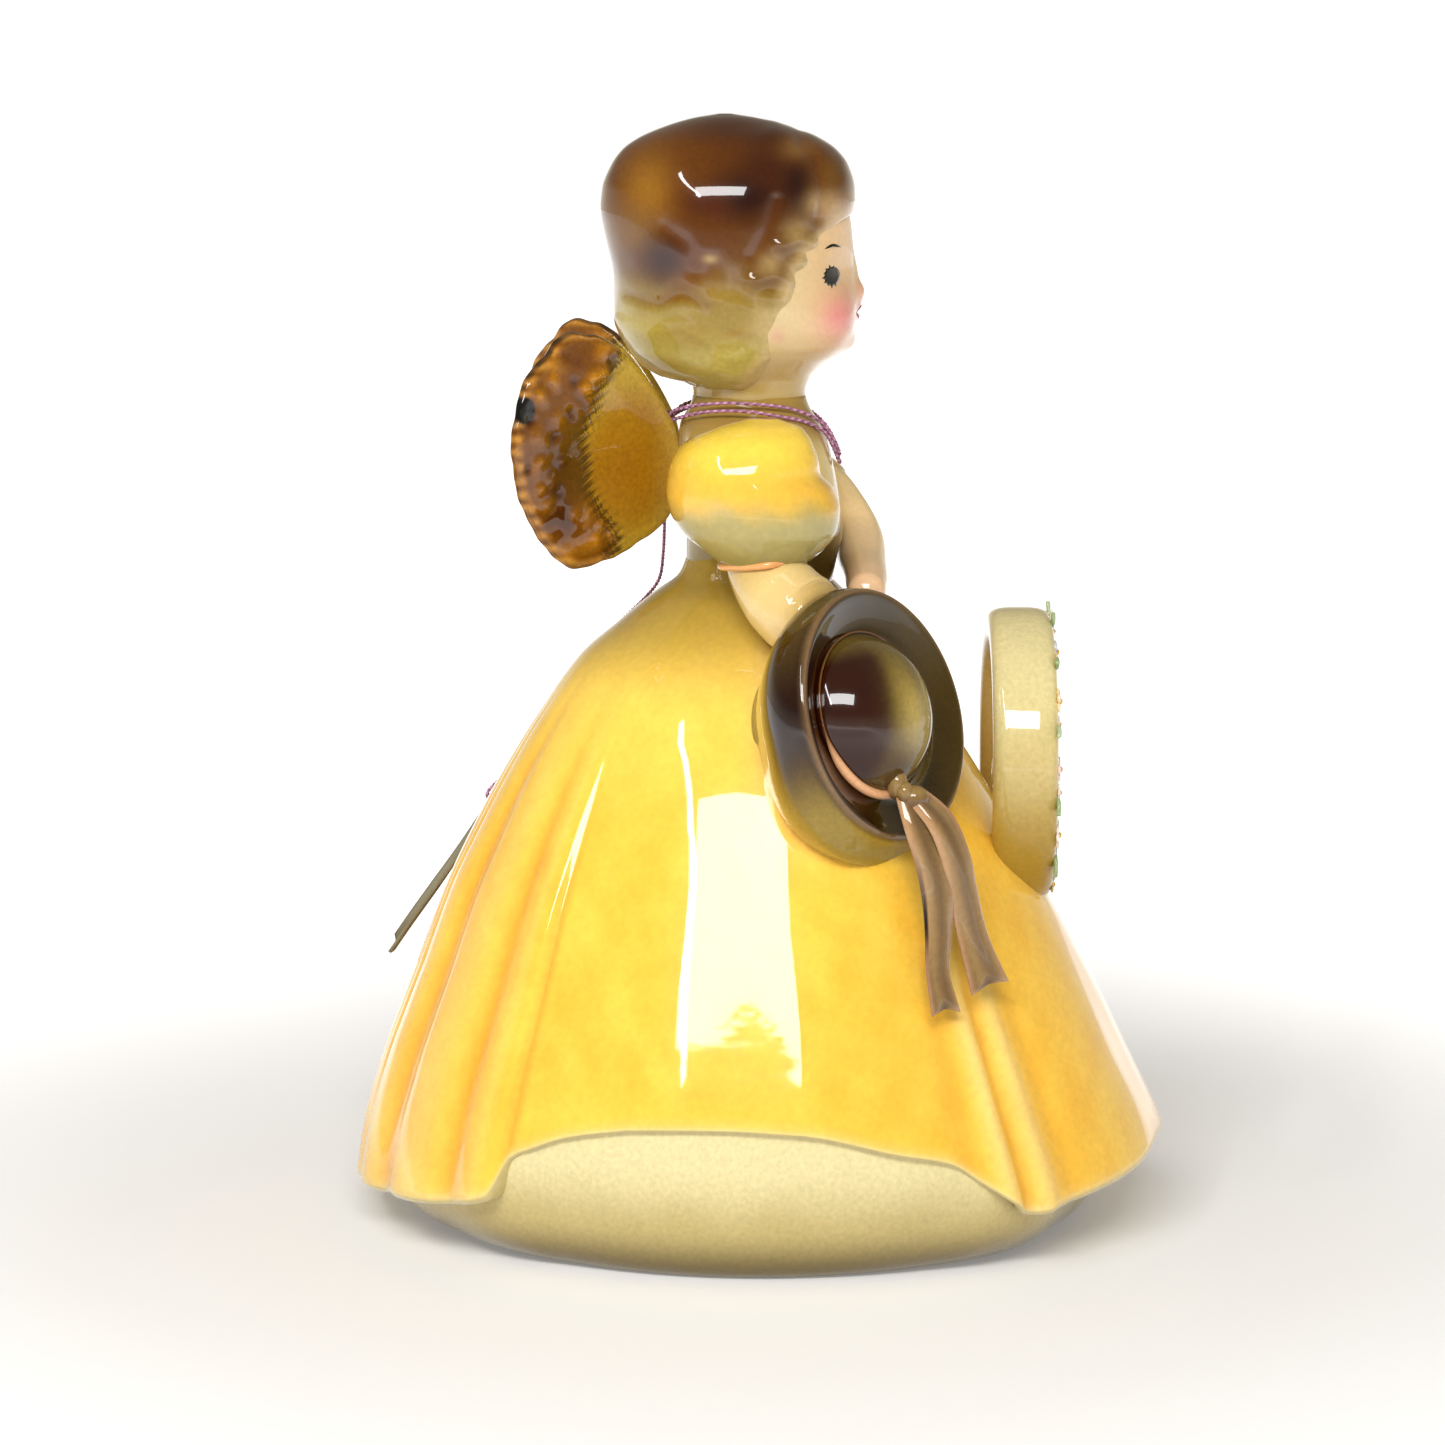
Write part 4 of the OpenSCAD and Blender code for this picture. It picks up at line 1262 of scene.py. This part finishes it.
def ring_parts():
    """Ring with a softly squared section."""
    turn, section = around(260)[:, None], around(72)
    c, s = boxy(np.cos(section), 0.72), boxy(np.sin(section), 0.55)
    r = RING_MID_R + RING_WALL / 2 * c
    y = (RING_BACK + RING_FRONT) / 2 + (RING_BACK - RING_FRONT) / 2 * s
    grid = xyz(r * np.cos(turn), y, RING_Z + r * np.sin(turn))
    # Darker towards the bottom, painted shade on the inner face, and paler on the front face.
    tint = painted(
        "#DACC94",
        ("#A6862C", smooth(66, 42, grid[..., 2] + 0.5 * mottle(grid, 8))),
        ("#A07C36", 0.6 * smooth(0.2, -0.7, c) + 0 * turn),
        ("#DDD09A", 0.4 * smooth(-33.2, -34.4, grid[..., 1])),
    )
    return grid.reshape(-1, 3), looped_faces(*grid.shape[:2]), tint.reshape(-1, 3)


def around_y(a):
    """Unit direction at an angle in the plane of the ring."""
    return np.array([math.cos(a), 0, math.sin(a)])


def on_ring(degrees, r_off=0.0, lift=0.0):
    at = (RING_MID_R + r_off) * around_y(math.radians(degrees))
    return at + (0, RING_FRONT - lift, RING_Z)


def bloom_parts():
    """Small five-petalled flowers round the face of the ring."""
    parts = []
    for i in range(FLOWERS):
        at = FIRST_FLOWER + FLOWER_ARC * (i + 0.5) / FLOWERS
        for extra, scale in ((0, 1.0), (9.5, 0.72)):
            centre = on_ring(at + extra, 0.5 * math.sin(3 * i + extra))
            tone = PETAL_COLOURS[(i + (extra > 0)) % len(PETAL_COLOURS)]
            for k in range(PETALS):
                way = around_y(2 * math.pi * (k + 0.3 * i) / PETALS)
                p, f = ball(centre + way * 0.85 * scale, 0.62 * scale, 8, 12, (1, 0.4, 1))
                tips = smooth(0.6, 1.4, np.linalg.norm(p - centre, axis=1))
                parts.append((p, f, painted(tone, ("#FFFFFF", 0.25 * tips))))
            p, f = ball(centre - (0, 0.12, 0), 0.4 * scale, 8, 12)
            parts.append((p, f, srgb("#D9A53A")))
    return joined(parts)


def leaf_parts():
    """Pointed leaves between the flowers, some standing past the ring's edge."""
    parts = []
    turn = around(14)[:, None]
    for i in range(2 * FLOWERS - 1):
        at = FIRST_FLOWER + FLOWER_ARC * (i + 0.9) / (2 * FLOWERS)
        centre = on_ring(at, 1.3 if i % 2 else -1.2, -0.2)
        a = math.radians(at + (35 if i % 2 else -40))
        way, side = around_y(a), around_y(a + math.pi / 2)
        rows = []
        for t in np.linspace(0, 1, 12):
            wide = 0.75 * math.sin(math.pi * min(max(t, 0.04), 0.96)) ** 0.8
            spine = centre + way * (2.6 * t - 1.0) - (0, 0.05 + 0.12 * math.sin(3 * t), 0)
            rows.append(spine + np.cos(turn) * side * wide + np.sin(turn) * (0, 0.28, 0))
        parts.append(closed_grid(np.array(rows), srgb("#94A878" if i % 3 else "#AEBE98")))
    return joined(parts)


piece("flower_ring_band", ring_parts(), GLOSS, "figure", "cream_glaze", "flower_ring")
piece("ring_blooms", bloom_parts(), GLOSS, "figure", "flower_glaze", "ring_flowers")
piece("ring_foliage", leaf_parts(), GLOSS, "figure", "leaf_glaze", "ring_leaves")

# ---- floor and light

FLOOR_SHADES = [
    # middle, where the floor starts and ends to brighten (metres), least glow
    ((0, 0, 0), 0.05, 0.26, 0.2),
    ((-0.45, 0, 0), 0.15, 0.4, 0.15),
]
ROOM_COLOUR = (1.0, 0.91, 0.76, 1)
ROOM_FADE = (-0.02, 0.3, 0.85, 0.25)
AIM_AT = Vector((0, 0, 0.06))
LAMPS = [
    # name, azimuth and elevation in degrees, distance, width and height (metres), watts, spin
    ("softbox", 6.5, 35, 1.2, 0.76, 0.3, 11.5, 0),
    ("side_strip", 35, 40, 1.2, 0.045, 0.75, 2.5, 40),
]


def add_floor():
    """Pale floor that glows more with distance, so that it fades into the white surroundings."""
    bpy.ops.mesh.primitive_plane_add(size=6, location=(0, 0, 0))
    floor = bpy.context.object
    floor.name = "floor"
    paper = bpy.data.materials.new("white_paper")
    paper.use_nodes = True
    tree = paper.node_tree
    place = add_node(tree, "TexCoord").outputs["Object"]
    glows = {}
    for k, (middle, *fade, least) in enumerate(FLOOR_SHADES):
        away = add_node(tree, "VectorMath", {0: place, 1: middle}, operation="DISTANCE").outputs["Value"]
        glow = map_range(away, *fade, least, 1.0)
        glows[k] = add_node(tree, "MapRange", glow, interpolation_type="SMOOTHSTEP").outputs["Result"]
    product = add_node(tree, "Math", glows, operation="MULTIPLY")
    inputs = {
        "Base Color": (0.8, 0.8, 0.8, 1), "Roughness": 0.7, "Specular IOR Level": 0.2,
        "Emission Color": (1, 1, 1, 1), "Emission Strength": product.outputs["Value"],
    }
    feed(tree, tree.nodes["Principled BSDF"], inputs)
    floor.data.materials.append(paper)


def add_lamp(name, azimuth, elevation, distance, wide, high, power, spin):
    """Area lamp round the figure. Azimuth 0 is the camera's side, positive towards the back."""
    data = bpy.data.lights.new(name, "AREA")
    data.shape = "RECTANGLE"
    data.size, data.size_y = wide, high
    data.energy = power
    lamp = bpy.data.objects.new(name, data)
    a, e = math.radians(azimuth), math.radians(elevation)
    way = Vector((-math.cos(e) * math.cos(a), math.cos(e) * math.sin(a), math.sin(e)))
    lamp.location = AIM_AT + distance * way
    lamp.rotation_euler = (AIM_AT - lamp.location).to_track_quat("-Z", "Y").to_euler()
    lamp.rotation_euler.rotate_axis("Z", math.radians(spin))
    bpy.context.scene.collection.objects.link(lamp)


def add_world():
    """White surroundings where nothing is in the way, and a dimmer room in the reflections."""
    world = bpy.data.worlds.new("studio")
    world.use_nodes = True
    tree = world.node_tree
    place = add_node(tree, "TexCoord").outputs["Generated"]
    up = add_node(tree, "SeparateXYZ", {"Vector": place}).outputs["Z"]
    fade = add_node(tree, "MapRange", map_range(up, *ROOM_FADE), interpolation_type="SMOOTHSTEP")
    room = tree.nodes["Background"]
    feed(tree, room, {"Color": ROOM_COLOUR, "Strength": fade.outputs["Result"]})
    plain = add_node(tree, "Background", {"Color": (1, 1, 1, 1)})
    seen = add_node(tree, "LightPath").outputs["Is Camera Ray"]
    pick = add_node(tree, "MixShader", {"Fac": seen, 1: room.outputs[0], 2: plain.outputs[0]})
    feed(tree, tree.nodes["World Output"], {"Surface": pick.outputs["Shader"]})
    bpy.context.scene.world = world


add_world()
add_floor()
bpy.context.scene.view_settings.view_transform = "Standard"
for lamp in LAMPS:
    add_lamp(*lamp)
